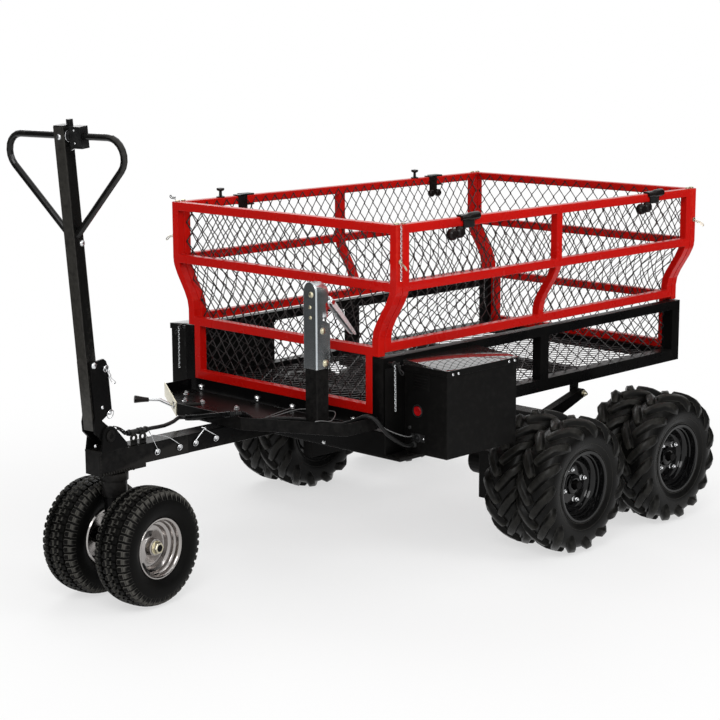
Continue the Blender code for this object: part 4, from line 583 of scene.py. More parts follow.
def flareAt(z):
    start, end, lean = expanded["flare"]
    t = min(max((z - start) / (end - start), 0), 1)
    return lean * t * t * (3 - 2 * t)


def makeSheets():
    low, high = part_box("floor_mesh")
    middle = (low[2] + high[2]) / 2
    makeSheet("floorSheet", high[0] - low[0], high[1] - low[1], "floor_mesh", "bed",
              lambda u, v, out: (low[0] + u, low[1] + v, middle + out), longUp=False)
    for tag, side in sides:
        a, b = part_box("lower_mesh_" + tag)
        face = (a[1] + b[1]) / 2
        makeSheet("lowerSheet_" + tag, b[0] - a[0], b[2] - a[2], "lower_mesh_" + tag, "bed",
                  lambda u, v, out: (a[0] + u, face + side * out, a[2] + v), longUp=False)
        c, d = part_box("side_mesh_" + tag)
        foot = min(abs(c[1]), abs(d[1])) + expanded["sideOut"]
        makeSheet("sideSheet_" + tag, d[0] - c[0], d[2] - c[2], "side_mesh_" + tag, "bed",
                  lambda u, v, out: (c[0] + u, side * (foot + out + flareAt(c[2] + v - expanded["sideLate"])), c[2] + v))
    for tag in ("front", "rear"):
        a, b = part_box(tag + "_gate_mesh")
        half = (b[1] - a[1]) / 2 - expanded["flare"][2]
        face = (a[0] + b[0]) / 2
        makeSheet(tag + "GateSheet", 2 * half, b[2] - a[2], tag + "_gate_mesh", tag + "_gate",
                  lambda u, v, out: (face + out, (u - half) * (1 + flareAt(a[2] + v) / half), a[2] + v))


makeSheets()
print("expanded metal")


# Rear wheels

lugTyre = {
    "radius": 0.2,
    "lugs": 15,           # on each half of the tread
    "lugHeight": 0.0135,
    "lugFoot": 0.03,     # width where the lug meets the carcass
    "lugTop": 0.019,
    "sweep": 0.5,        # radians that a lug runs round from the middle to its end on the side
    "steps": 14,
    # half section of the carcass as (y, radius), from the middle of the tread to the bead; the lugs end at its seventh point
    "half": mm(
        (0, 186.5), (14, 186.1), (28, 184.3), (40, 180.5), (49, 173), (54.5, 163), (56.8, 150.5), (56.8, 137.5), (54.5, 124.5),
        (50.5, 114.5), (47.5, 109), (47.8, 106), (46.2, 103.5), (41.8, 100)),
    "outerTurn": 0.09,    # how far the outer tyres' lugs stand on from the inner ones'
    "rings": ((0.1085, 0.0489), (0.1265, 0.0546)),   # moulded on the side: radius, place
}


def alongSide(share):  # a point of the half section and its outward normal, by share of its length to the lug's end
    points = [Vector(point) for point in lugTyre["half"][:7]]
    lengths = [(b - a).length for a, b in zip(points, points[1:])]
    want = share * sum(lengths)
    for a, b, length in zip(points, points[1:], lengths):
        if want <= length or b == points[-1]:
            run = (b - a) / length
            return a + run * want, Vector((-run.y, run.x))
        want -= length


def lugStation(half, base, t):  # where a lug is at share t of its length, on the carcass: its middle, and its outward normal
    spot, out = alongSide(0.03 + 0.95 * t)
    turn = base - lugTyre["sweep"] * (1.12 * t - 0.12 * t * t)
    radial = Vector((math.cos(turn), 0, math.sin(turn)))
    return Vector((0, half * spot.x, 0)) + radial * spot.y, Vector((0, half * out.x, 0)) + radial * out.y


def lugSection(half, base, t):  # the ring of ten points round a lug at share t of its length
    middle, normal = lugStation(half, base, t)
    ahead, behind = lugStation(half, base, min(t + 0.03, 1.0))[0], lugStation(half, base, max(t - 0.03, 0.0))[0]
    lateral = normal.cross((ahead - behind).normalized()).normalized()
    low = max(0.0, (t - 0.62) / 0.38)
    height = lugTyre["lugHeight"] * (1.0 - 0.9 * low ** 1.5)
    width = (1.0 + 0.1 * t) * (1.0 - 0.35 * low ** 3) * (0.8 + 0.2 * min(t / 0.12, 1.0))
    foot, top = lugTyre["lugFoot"] * width / 2, lugTyre["lugTop"] * width / 2
    rising = [(foot, -0.0015), (foot * 0.93, height * 0.1), (foot * 0.4 + top * 0.6, height * 0.55), (top, height * 0.93), (top * 0.86, height)]
    ring = []
    for across, lift in [(-a, b) for a, b in rising] + rising[::-1]:
        point = middle + lateral * across + normal * lift
        reach = math.hypot(point.x, point.z)
        inside = min(1.0, lugTyre["radius"] / reach)
        ring.append(Vector((point.x * inside, point.y, point.z * inside)))
    return ring


def lugEnd(ring, before, reach):  # a lug's last ring again, lower, narrower and a little further on
    middle = sum(ring, Vector()) / 10
    run = (sum(ring, Vector()) - sum(before, Vector())).normalized() * reach
    drop = middle.normalized() * 0.0035
    return [middle + (point - middle) * 0.82 + run - (drop if n in (3, 4, 5, 6) else Vector()) for n, point in enumerate(ring)]


def makeLugTyre():
    half = lugTyre["half"]
    bm = bmesh.new()
    addTurned(bm, [(r, y) for y, r in half] + [(r, -y) for y, r in reversed(half[1:])], (0, 0, 0), (0, 1, 0), 96)
    count, steps = lugTyre["lugs"], lugTyre["steps"]
    for hand, start in ((1, 0.0), (-1, math.pi / count)):
        for n in range(count):
            rows = [lugSection(hand, start + 2 * math.pi * n / count, k / steps) for k in range(steps + 1)]
            addLoft(bm, [lugEnd(rows[0], rows[1], 0.005), *rows, lugEnd(rows[-1], rows[-2], 0.004)])
    for side in (-1, 1):
        for radius, y in lugTyre["rings"]:
            addTube(bm, loop(72, (0, side * y, 0), (radius, 0, 0), (0, 0, radius)), 0.0009, 6, closed=True)
    return meshOf("lugTyre", bm, "lugRubber", 42)


deepRim = {
    "spacing": 0.12,     # of the pair
    # one pressed rim as (radius, place outward from the tyre's middle): bead lip, seat, well and dished centre, then back inside
    "profile": mm(
        (105.5, 46.5), (106.1, 48.2), (105.1, 49.6), (102.7, 50), (96.5, 48), (94, 41), (93.5, 31), (90, 29), (89, 21), (83.5, 18),
        (80, 15), (78.5, 7), (72.5, -2), (66.5, -5), (62, -4), (58, 1), (40, 3), (31, 3), (29, 5), (28.5, 13), (26, 15), (16, 15),
        (15, 13), (15, -11), (30, -11), (60, -9), (74.5, -9), (76.5, -20), (92.5, -30), (95.5, -48), (103.5, -50), (105.5, -47.5),
        (100, -43), (99.3, 43)),
    "hub": mm((13.5, -147), (30, -147), (32, -145), (32, -10), (52, -6), (55, 20), (36, 26), (34, 50), (13.5, 50)),
    "nuts": 4,
    "nutCircle": 0.048,
    "nutFoot": 0.061,     # from the pair's middle to the face that the nuts sit on
    "nutPhase": (("front", 0.25), ("rear", 0.68)),
}


def makeDualRim(name, side):
    bm = bmesh.new()
    for middle in (-deepRim["spacing"] / 2, deepRim["spacing"] / 2):
        addTurned(bm, [(r, side * y) for r, y in deepRim["profile"]], (0, side * middle, 0), (0, 1, 0), 72)
    addTurned(bm, deepRim["hub"], (0, 0, 0), (0, side, 0), 40)
    return meshOf(name, bm, "rimBlack", 40)


def makeWheelNuts(name, side, phase):
    bm = bmesh.new()
    out, circle = Vector((0, side, 0)), deepRim["nutCircle"]
    for n in range(deepRim["nuts"]):
        turn = phase + 2 * math.pi * n / deepRim["nuts"]
        spot = Vector((circle * math.cos(turn), side * deepRim["nutFoot"], circle * math.sin(turn)))
        addTurned(bm, mm((0, 0), (9.8, 0), (9.8, 2), (8.2, 3), (0, 3)), spot, out)
        spot += out * 0.003
        addTurned(bm, mm((0, 0), (7.8, 0), (7.8, 7), (6.2, 9.5), (0, 9.5)), spot, out, 6)
        addTurned(bm, mm((4.5, 0), (4.5, 13), (3.2, 14.5), (0, 14.5)), spot, out, 12, closed=False)
    return meshOf(name, bm, "brightSteel", 35)


def makeRearWheels():
    tyres = {"inner": makeLugTyre()}
    tyres["outer"] = tyres["inner"].copy()
    tyres["outer"].transform(Matrix.Rotation(lugTyre["outerTurn"], 4, "Y"))
    for tag, side in sides:
        rim = makeDualRim("dualRim_" + tag, side)
        for end, phase in deepRim["nutPhase"]:
            label = tag + "_" + end
            body = "rear_wheel_" + label
            middles = []
            for ring, tyre in tyres.items():
                low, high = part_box("%s_tyre_%s" % (ring, label))
                centre = (Vector(low) + Vector(high)) / 2
                centre.z = low[2] + lugTyre["radius"]
                middles.append(centre)
                placeMesh("%sTyre_%s" % (ring, label), tyre, body, ("%s_tyre_%s" % (ring, label),), Matrix.Translation(centre))
            centre = Matrix.Translation((middles[1].x, (middles[0].y + middles[1].y) / 2, middles[1].z))
            placeMesh("rim_" + label, rim, body, ("dual_rim_" + label,), centre)
            placeMesh("nuts_" + label, makeWheelNuts("wheelNuts_" + label, side, phase), body, (), centre)


makeRearWheels()
print("rear wheels")


# Front wheels

turfTyre = {
    "radius": 0.16,
    "pitches": 46,        # tread blocks round the tyre
    "blockDepth": 0.0055,
    "rows": (-0.0405, -0.0245, -0.0082, 0.0082, 0.0245, 0.0405),
    "blockHalf": 0.0058,
    "side": mm(           # half section of the side as (radius, y), from the shoulder to the bead
        (141, 51.2), (132, 55.3), (120, 57.2), (106, 56.6), (95, 53.5), (89, 48.5), (85, 47), (84.5, 45.2), (80.5, 44), (76.5, 39.8)),
    "bar": mm((47.5, 146.5, 3.8), (51.2, 141, 2.6), (53.8, 135.5, 1.2), (55.5, 131, 0.2)),   # a shoulder bar as (y, radius, height)
}


def turfRadius(y):  # the carcass under the blocks
    return turfTyre["radius"] - turfTyre["blockDepth"] - 0.0085 * (abs(y) / 0.047) ** 2.8


def addTurfBlock(bm, outline, middle, y, side):
    # a block of the tread: outline of (share of a pitch round the tyre, metres across), with a rounded upper edge
    pitch = 2 * math.pi / turfTyre["pitches"]
    rows = []
    for shrink, lift in ((1.06, -0.0015), (1.0, 0.82), (0.95, 0.97), (0.84, 1.0), (0.55, 1.0)):
        row = []
        for along, across in outline:
            spot = y + side * across * shrink
            reach = turfRadius(spot) + (turfTyre["blockDepth"] * lift if lift > 0 else lift)
            turn = middle + pitch * along * shrink
            row.append((reach * math.cos(turn), spot, reach * math.sin(turn)))
        rows.append(row)
    addLoft(bm, rows, caps=(False, True))


def addShoulderBar(bm, middle, side):  # it dies out on the side
    pitch = 2 * math.pi / turfTyre["pitches"]
    rows = []
    for y, r, lift in turfTyre["bar"]:
        row = []
        for span, up in ((-0.36, -0.001), (-0.29, lift * 0.8), (-0.24, lift), (0.24, lift), (0.29, lift * 0.8), (0.36, -0.001)):
            turn, reach = middle + span * pitch, r + up * 0.75
            row.append((reach * math.cos(turn), side * min(y + up * 0.55, 0.0575), reach * math.sin(turn)))
        rows.append(row)
    addLoft(bm, rows)


def makeTurfTyre():
    bm = bmesh.new()
    half = [(turfRadius(y), y) for y in (0.0, 0.015, 0.03, 0.04, 0.047)] + turfTyre["side"]
    addTurned(bm, half + [(r, -y) for r, y in reversed(half[1:])], (0, 0, 0), (0, 1, 0), 92)
    pitches, wide = turfTyre["pitches"], turfTyre["blockHalf"]
    pitch = 2 * math.pi / pitches
    square = [(-0.35, -wide), (-0.07, -wide), (-0.05, wide * 0.35), (0.05, wide * 0.35), (0.07, -wide), (0.35, -wide), (0.35, wide), (-0.35, wide)]
    stepped = [(-0.36, -wide), (0.3, -wide), (0.34, wide * 0.1), (0.36, wide), (-0.1, wide), (-0.12, wide * 0.1), (-0.34, 0)]
    outer = [(-0.33, -wide), (-0.05, -wide), (0.0, -wide * 0.2), (0.05, -wide), (0.33, -wide), (0.34, wide), (-0.34, wide)]
    for row, (y, outline) in enumerate(zip(turfTyre["rows"], (outer, square, stepped, stepped, square, outer))):
        for n in range(pitches):
            addTurfBlock(bm, outline, (n + (0.5 if row % 2 else 0.08 * row)) * pitch, y, 1 if y > 0 else -1)
    for side, start in ((-1, 0.05), (1, 0.45)):
        for n in range(pitches):
            addShoulderBar(bm, (n + start) * pitch, side)
    return meshOf("turfTyre", bm, "turfRubber")


silverRim = {   # as the rear rims' profile
    "profile": mm(
        (82.2, 44), (82.8, 45.6), (81.8, 47), (79.5, 47.4), (76.5, 45.8), (74.5, 41), (73.5, 33), (70.5, 31), (69, 29), (68, 20),
        (64, 17.5), (60.5, 16), (58.5, 10), (56, 5.5), (50, 4), (38, 5.5), (29, 9.5), (25, 11.5), (23.5, 14), (23, 28), (21.5, 29.5),
        (12, 29.5), (11, 28), (11, -20), (23, -30), (23.5, -4), (50, 0), (60, -2), (64, -16), (70, -24), (73.5, -45), (79, -47.4),
        (82.2, -44), (76.5, -40), (76, 40)),
    "valve": (0.052, 0.9),   # how far the valve stands from the axle, and where round it
}


def makeFrontRim(name, side):
    bm = bmesh.new()
    addTurned(bm, [(r, side * y) for r, y in silverRim["profile"]], (0, 0, 0), (0, 1, 0), 64)
    return meshOf(name, bm, "silverPaint", 40)


def makeFrontWheels():
    tyre = makeTurfTyre()
    for tag, side in sides:
        wheel = Matrix.Translation(pivots["front_wheel_%s_spin" % tag]) @ Matrix.Rotation(steerTurn, 4, "Z")
        body, out = "front_wheel_" + tag, (0, side, 0)
        placeMesh("turfTyre_" + tag, tyre, body, ("front_tyre_" + tag,), wheel)
        placeMesh("silverRim_" + tag, makeFrontRim("silverRim_" + tag, side), body, ("front_rim_" + tag,), wheel)
        bm = bmesh.new()
        addTurned(bm, mm((10.2, 0), (19, 0), (19, 1.2), (17.8, 2.2), (10.2, 2.2)), (0, side * 0.03, 0), out, 32)
        place("hubWasher_" + tag, bm, "yellowZinc", body, matrix=wheel)
        bm = bmesh.new()
        reach, turn = silverRim["valve"]
        foot = Vector((-reach * math.cos(turn), side * 0.01, -reach * math.sin(turn)))
        stem = [foot + Vector((-0.2, side * 0.55, -0.35)) * t * 0.03 / 0.65 for t in (0, 0.33, 0.66, 1.0)]
        addTube(bm, stem, lambda t: 0.0042 if t < 0.55 else 0.0031, 12)
        addTurned(bm, mm((0, -1), (4.4, -1), (4.6, 7.5), (3.6, 9.5), (0, 9.5)), stem[-1], stem[-1] - stem[-2], 14)
        place("valve_" + tag, bm, "mouldedBlack", body, matrix=wheel)
        bm = bmesh.new()
        addTurned(bm, mm((10.4, 0), (16.5, 0), (16.5, 8.5), (14.8, 10.4), (10.4, 10.4)), (0, side * 0.0324, 0), out, 6)
        place("axleNut_" + tag, bm, "yellowZinc", "steering", matrix=wheel)


makeFrontWheels()
print("front wheels")


# Tow coupler

coupler = {
    "place": (-0.143, -0.3),    # of the post's middle, from the bed's front face and the cart's middle
    "half": 0.0256,               # outside of the folded sheet
    "sheet": 0.0028,
    "fold": 0.0045,
    "flangeTop": 0.727,           # the side flanges are deep below this
    "headFoot": 0.776,
    "top": 0.842,
    "heights": (0.607, 0.6085, 0.64, 0.68, 0.715, 0.7265, 0.731, 0.735, 0.739, 0.75, 0.765, 0.775, 0.779, 0.784, 0.79, 0.8, 0.812,
                0.818, 0.824, 0.829, 0.833, 0.8365, 0.8392, 0.841, 0.8418),
    "rivets": ((0.809, -0.006, 0.0085), (0.7746, -0.0015, 0.0052), (0.7468, -0.003, 0.0052)),   # on the front: height, across, size
    "bolts": ((-0.002, 0.7105, 0.0075), (0.008, 0.6216, 0.0085)),                                # on the sides: along, height, size
    "lever": (0.049, 0.782, 0.14, 0.7156),   # pivot from the post's middle, its height, length, radians from straight down
    "leverWide": 0.0022,          # thickness of its walls
}
couplerX, couplerY = at(coupler["place"][0]), coupler["place"][1]


def couplerSection(z):  # how far the flanges reach back, and how much the section shrinks in the rounded head
    deep, head, top, half = coupler["flangeTop"], coupler["headFoot"], coupler["top"], coupler["half"]
    if z <= deep:
        reach = half
    elif z <= deep + 0.012:
        reach = half - (half + 0.002) * (z - deep) / 0.012
    elif z <= head:
        reach = -0.002
    else:
        reach = -0.002 + (half - 0.004) * min((z - head) / 0.014, 1)
    start = top - 0.03
    rise = max(0.0, (z - start) / (top - start))
    return reach, 0.16 + 0.84 * math.sqrt(max(0.0, 1 - rise * rise))


def channelEdge(back, front, wide, radius):  # from one flange's end round the front face to the other's
    half = [(back, wide)]
    for t in [math.pi / 12 * n for n in range(7)]:
        half.append((front + radius - radius * math.sin(t), wide - radius + radius * math.cos(t)))
    return half + [(x, -y) for x, y in reversed(half)]


def makeCouplerShell():
    half, sheet = coupler["half"], coupler["sheet"]
    rows = []
    for z in coupler["heights"]:
        reach, shrink = couplerSection(z)
        wide = half * shrink
        radius = min(coupler["fold"], wide * 0.9)
        back = max(reach * shrink, -wide + radius + 0.001)
        outer, inner = channelEdge(back, -half, wide, radius), channelEdge(back, sheet - half, wide - sheet, max(radius - sheet, 0.001))
        rows.append([(couplerX + x, couplerY + y, z) for x, y in outer + inner[::-1]])
    bm = bmesh.new()
    rings = addLoft(bm, rows, caps=(False, False))
    last = len(rings[0]) - 1
    for ring in (rings[0], rings[-1]):
        for k in range(last // 2):
            bm.faces.new((ring[k], ring[k + 1], ring[last - 1 - k], ring[last - k]))
    ball = mm((0, -20), (21.5, -18), (23.5, -10), (23.5, 18), (16.5, 30), (11.5, 33.5), (0, 34))
    addTurned(bm, ball, (couplerX + 0.001, couplerY, 0.797), (0, 0, 1), 28)
    place("couplerShell", bm, "zincPlate", "chassis", ("coupler_body",))


def makeCouplerHardware():
    x, y, half = couplerX, couplerY, coupler["half"]
    bm = bmesh.new()
    for z, across, size in coupler["rivets"]:
        addDomeBolt(bm, (x - half, y + across, z), (-1, 0, 0), size)
    for along, z, size in coupler["bolts"]:
        for side in (-1, 1):
            spot = Vector((x + along, y + side * half, z))
            addTurned(bm, [(0, 0), (size * 1.2, 0), (size * 1.2, 0.001), (size, 0.0016), (0, 0.0016)], spot, (0, side, 0))
            addDomeBolt(bm, spot + Vector((0, side * 0.0015, 0)), (0, side, 0), size)
    place("couplerRivets", bm, "yellowZinc", "chassis")
    bm = bmesh.new()   # wedge and bracket that the latch turns on
    addBox(bm, (x - 0.004, y - 0.0215, 0.745), (x + 0.022, y - 0.0185, 0.8), 0.001)
    addBox(bm, (x - 0.004, y + 0.0185, 0.745), (x + 0.022, y + 0.0215, 0.8), 0.001)
    addBox(bm, (x + 0.004, y - 0.0055, 0.762), (x + 0.052, y + 0.0055, 0.793), 0.002)
    addTurned(bm, mm((0, -16), (6.2, -16), (6.2, 16), (0, 16)), (x + coupler["lever"][0], y, coupler["lever"][1]), (0, 1, 0), 18)
    for side in (-1, 1):
        addDomeBolt(bm, (x + 0.01, y + side * 0.0215, 0.789), (0, side, 0), 0.0062)
    place("couplerWedge", bm, "zincPlate", "chassis")


def makeCouplerLever():  # a folded channel, open towards the post
    reach, height, length, angle = coupler["lever"]
    run, out = Vector((math.sin(angle), 0, -math.cos(angle))), Vector((math.cos(angle), 0, math.sin(angle)))
    pivot = Vector((couplerX + reach, couplerY, height))
    rows = []
    for t, wide, deep in ((-0.012, 0.0085, 0.006), (-0.006, 0.0115, 0.012), (0.012, 0.0125, 0.016), (0.045, 0.0125, 0.014), (0.095, 0.0115, 0.012),
                          (length - 0.01, 0.0105, 0.01), (length - 0.003, 0.0085, 0.007), (length, 0.005, 0.003)):
        low, inner = 0.009 - deep, wide - coupler["leverWide"]
        rows.append([pivot + run * t + Vector((0, side, 0)) + out * lift for side, lift in
                     ((-wide, low), (-wide, 0.006), (0.003 - wide, 0.009), (wide - 0.003, 0.009), (wide, 0.006), (wide, low),
                      (inner, low), (inner, 0.0055), (-inner, 0.0055), (-inner, low))])
    bm = bmesh.new()
    rings = addLoft(bm, rows, caps=(False, False))
    for end in (rings[0], rings[-1]):
        for quad in ((0, 1, 8, 9), (1, 2, 3, 4), (1, 4, 7, 8), (4, 5, 6, 7)):
            bm.faces.new([end[k] for k in quad])
    place("couplerLever", bm, "dullZinc", "coupler_latch", ("coupler_latch",))


makeCouplerShell()
makeCouplerHardware()
makeCouplerLever()
print("coupler")


# Handle

mast = {
    "lean": math.radians(5.27),
    "offset": 0.0297,      # from the tilt axis forward to the mast's middle
    "half": 0.01725,
    "top": 0.817,
    "bar": 0.792,
    "wall": -0.0332,       # near face of the throttle's housing
    "cheek": 0.0236,       # outer face of the bracket's cheeks
    "weld": 0.54,
}
mastFrame = (Matrix.Translation(pivots["handle_tilt"]) @ Matrix.Rotation(steerTurn, 4, "Z") @ Matrix.Rotation(-mast["lean"], 4, "Y")
             @ Matrix.Translation((-mast["offset"], 0, 0)))


def addRingPin(bm, spot, out, ring):  # a pin's head with a wire ring hanging over it
    spot, out = Vector(spot), Vector(out)
    addTurned(bm, mm((0, 0), (5.6, 0), (5.6, 4.5), (4.4, 6), (0, 6)), spot, out, 18)
    middle = spot + out * 0.0042 - Vector((0, 0, ring * 0.3))
    across = out.cross(Vector((0, 0, 1))).normalized()
    addTube(bm, loop(28, middle, across * ring, Vector((0, 0, ring)) + out * 0.0022), 0.0012, closed=True)


def addClip(bm, start, run, out, size, wire):  # an R-clip: a straight leg, a round eye and a waved leg
    start, run, out = Vector(start), Vector(run).normalized(), Vector(out).normalized()
    path = [start + run * size * u + out * size * v for u, v in
            ((0, 0), (0.4, 0), (0.75, 0), (0.92, 0.05), (1.04, 0.17), (0.98, 0.32), (0.82, 0.32), (0.7, 0.2), (0.52, 0.12), (0.36, 0.2),
             (0.2, 0.14), (0.02, 0.24))]
    addTube(bm, smoothPath(path, 4), wire, 7)


def makeMastHardware():
    half, top, cheek = mast["half"], mast["top"], mast["cheek"]
    bm = bmesh.new()   # plug in the mast's top
    addBox(bm, (-half + 0.0008, -half + 0.0008, top), (half - 0.0008, half - 0.0008, top + 0.0022), 0.0009)
    place("mastPlug", bm, "mouldedBlack", "handle", matrix=mastFrame)
    bm = bmesh.new()
    addDomeBolt(bm, (-half, 0, 0.7905), (-1, 0, 0), 0.0072)
    addDisc(bm, 0.0085, 0.0008, (-half, 0, 0.7905), (-1, 0, 0))
    for side in (-1, 1):
        out = (0, side, 0)
        addDomeBolt(bm, (0.0097, side * half, 0.5168), out, 0.0078)
        addDisc(bm, 0.0092, 0.0009, (0.0097, side * half, 0.5168), out)
        addDomeBolt(bm, (0.0023, side * cheek, 0.1964), out, 0.0088)
        addDomeBolt(bm, (0.0183, side * cheek, 0.0801), out, 0.005)
    place("mastBolts", bm, "brightSteel", "handle", matrix=mastFrame)
    bm = bmesh.new()
    addRingPin(bm, (0.0405, -cheek, 0.1827), (0, -1, 0), 0.0085)
    addRingPin(bm, (0.0405, -cheek, 0.06), (0, -1, 0), 0.0115)
    addClip(bm, (0.043, -cheek - 0.003, 0.176), (0.35, 0, -0.94), (0, -1, 0.1), 0.042, 0.0011)
    place("mastPins", bm, "brightSteel", "handle", matrix=mastFrame)


def makeThrottleParts():
    bar, wall = mast["bar"], mast["wall"]
    bm = bmesh.new()   # the housing's guard
    addBox(bm, (-0.008, wall - 0.036, bar - 0.031), (0.018, wall - 0.001, bar - 0.0255), 0.0012)
    addBox(bm, (0.0165, wall - 0.033, bar - 0.03), (0.0205, wall - 0.004, bar + 0.024), 0.0012)
    place("controlGuard", bm, "mouldedBlack", "handle", matrix=mastFrame)
    bm = bmesh.new()   # its screws and small lever
    for rise in (0.016, -0.016):
        addDomeBolt(bm, (-0.015, wall - 0.018, bar + rise), (-1, 0, 0), 0.0026)
    addTube(bm, smoothPath(mm((4, -18.5, 755.3), (10, -21.5, 758), (19, -23, 762)), 4), 0.0017)
    place("controlScrews", bm, "brightSteel", "handle", matrix=mastFrame)
    bm = bmesh.new()   # ribs of the thumb lever
    for n in range(7):
        z = bar + 0.0205 + n * 0.0031
        addBox(bm, (-0.007, -0.0312, z), (0.007, -0.0193, z + 0.0015), 0.0004)
    place("thumbRibs", bm, "mouldedBlack", "throttle", matrix=mastFrame)
    bm = bmesh.new()
    addTube(bm, loop(32, (0, -0.0206, bar), (0.0152, 0, 0), (0, 0, 0.0152)), 0.0009, closed=True)
    place("throttleRing", bm, "brightSteel", "throttle", matrix=mastFrame)
    bm = bmesh.new()   # weld beads where the loop meets the mast
    for side in (-1, 1):
        addTube(bm, loop(20, (0, side * (mast["half"] + 0.001), mast["weld"]), (0.006, 0, 0), (0, 0, 0.013)), 0.0022, closed=True)
    place("loopWelds", bm, "blackPaint", "handle", matrix=mastFrame)


makeMastHardware()
makeThrottleParts()
print("handle")


# Head of the tongue: tilt pin, yoke hardware, fork collar

def makeHeadParts():
    turn = Matrix.Translation(pivots["handle_tilt"]) @ Matrix.Rotation(steerTurn, 4, "Z")
    bm = bmesh.new()
    for side in (-1, 1):
        addTurned(bm, mm((6, 0), (15.5, 0), (15.5, 2.2), (14, 3.4), (6, 3.4)), (0, side * 0.0318, 0), (0, side, 0), 28)
    place("tiltWashers", bm, "blackPaint", "steering", matrix=turn)
    bm = bmesh.new()
    addDomeBolt(bm, (-0.05, -0.0245, -0.018), (0, -1, 0), 0.0045)
    place("yokeBolt", bm, "brightSteel", "steering", matrix=turn)
    bm = bmesh.new()   # seal and sleeve of the kingpin under the head
    low = (0, 0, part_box("tongue_head")[0][2])
    addTurned(bm, mm((27.5, -4), (38.5, -4), (38.5, -22), (37, -24), (27.5, -24)), low, (0, 0, 1), 36)
    addTurned(bm, mm((27.5, -23.5), (34.5, -23.5), (34.5, -60), (32.5, -66), (27.5, -68)), low, (0, 0, 1), 36)
    place("forkCollar", bm, "blackPaint", "steering", matrix=steerFrame)


makeHeadParts()
print("head")


# Tongue: pins on wire lanyards and eyelets

tongue = {
    "face": -0.03,
    "top": 0.4183,
    "pins": ((-0.4828, 0.3922), (-0.4044, 0.3912), (-0.3479, 0.3933), (-0.2737, 0.3938)),
    "eyelets": (-0.556, -0.526),
    "stand": (-0.502, -0.032, 0.4393),    # where the first two lanyards hang
    "apex": (-0.315, -0.033, 0.4255),     # and the others
    "sags": (-0.006, 0.01),
    "wire": 0.0011,
}


def makeLanyards():
    top, wire = tongue["top"], tongue["wire"]
    ends = [Vector((at(x), tongue["face"] - 0.0045, z + 0.006)) for x, z in tongue["pins"]]
    stand, apex = map(Vector, fromBed((tongue["stand"], tongue["apex"])))
    bm = bmesh.new()
    for end, sag in zip(ends, tongue["sags"]):
        addTube(bm, smoothPath([stand, (stand + end) / 2 + Vector((0, -0.004, sag)), end]), wire, 7)
    for end in ends[2:]:
        addTube(bm, smoothPath([apex, (apex + end) / 2, end], 3), wire + 0.0001, 7)
    addTurned(bm, mm((0, -4), (3, -4), (3, 10), (0, 10)), apex, (0, 1, 0), 12)
    over = [stand, (at(-0.495), -0.01, top + 0.03), (at(-0.5), 0.004, top + 0.024), (stand.x, -0.02, top + 0.012)]
    addTube(bm, smoothPath(over, 5), wire, 7)
    place("lanyards", bm, "brightSteel", "chassis")


def makeTongueParts():
    face, top = tongue["face"], tongue["top"]
    bm = bmesh.new()
    for x, z in tongue["pins"]:
        addRingPin(bm, (at(x), face, z), (0, -1, 0), 0.0078)
        addDomeBolt(bm, (at(x), -face, z), (0, 1, 0), 0.006)
    place("tonguePins", bm, "brightSteel", "chassis")
    makeLanyards()
    bm = bmesh.new()
    for x in map(at, tongue["eyelets"]):   # standing tabs with an eye
        addTurned(bm, mm((5.2, -1.6), (11.8, -1.6), (11.8, 1.6), (5.2, 1.6)), (x, face + 0.0045, top + 0.0215), (0, 1, 0), 26)
        addBox(bm, (x - 0.0105, face + 0.0029, top), (x + 0.0105, face + 0.0061, top + 0.015), 0.0006)
        addBox(bm, (x - 0.0125, face + 0.0029, top), (x + 0.0125, face + 0.016, top + 0.003), 0.0006)
    addBox(bm, (at(-0.3705), face - 0.0012, 0.368), (at(-0.3675), face, 0.4175), 0.0004)   # the joint's seam
    place("eyelets", bm, "blackPaint", "chassis")
    bm = bmesh.new()   # weld beads round the head block
    low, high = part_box("tongue_head")
    for n in range(13):
        spot = (low[0] + 0.012 + 0.1 * n / 12, low[1] - 0.0002, low[2] + 0.003 + 0.0006 * (n % 3))
        addTurned(bm, mm((0, -3), (4, -2.2), (4.6, 0), (4, 2.2), (0, 3)), spot, (1, 0.1 * (n % 2), 0), 10)
    for n in range(7):
        spot = (low[0] + 0.004 + 0.0004 * (n % 2), low[1] + 0.003, high[2] - 0.004 - 0.009 * n)
        addTurned(bm, mm((0, -4), (3.4, -2.8), (4, 0), (3.4, 2.8), (0, 4)), spot, (0, 0, 1), 10)
    place("headWelds", bm, "blackPaint", "chassis")


makeTongueParts()
print("tongue")


# Tray: bolts, thin cables, and the dump latch's lever

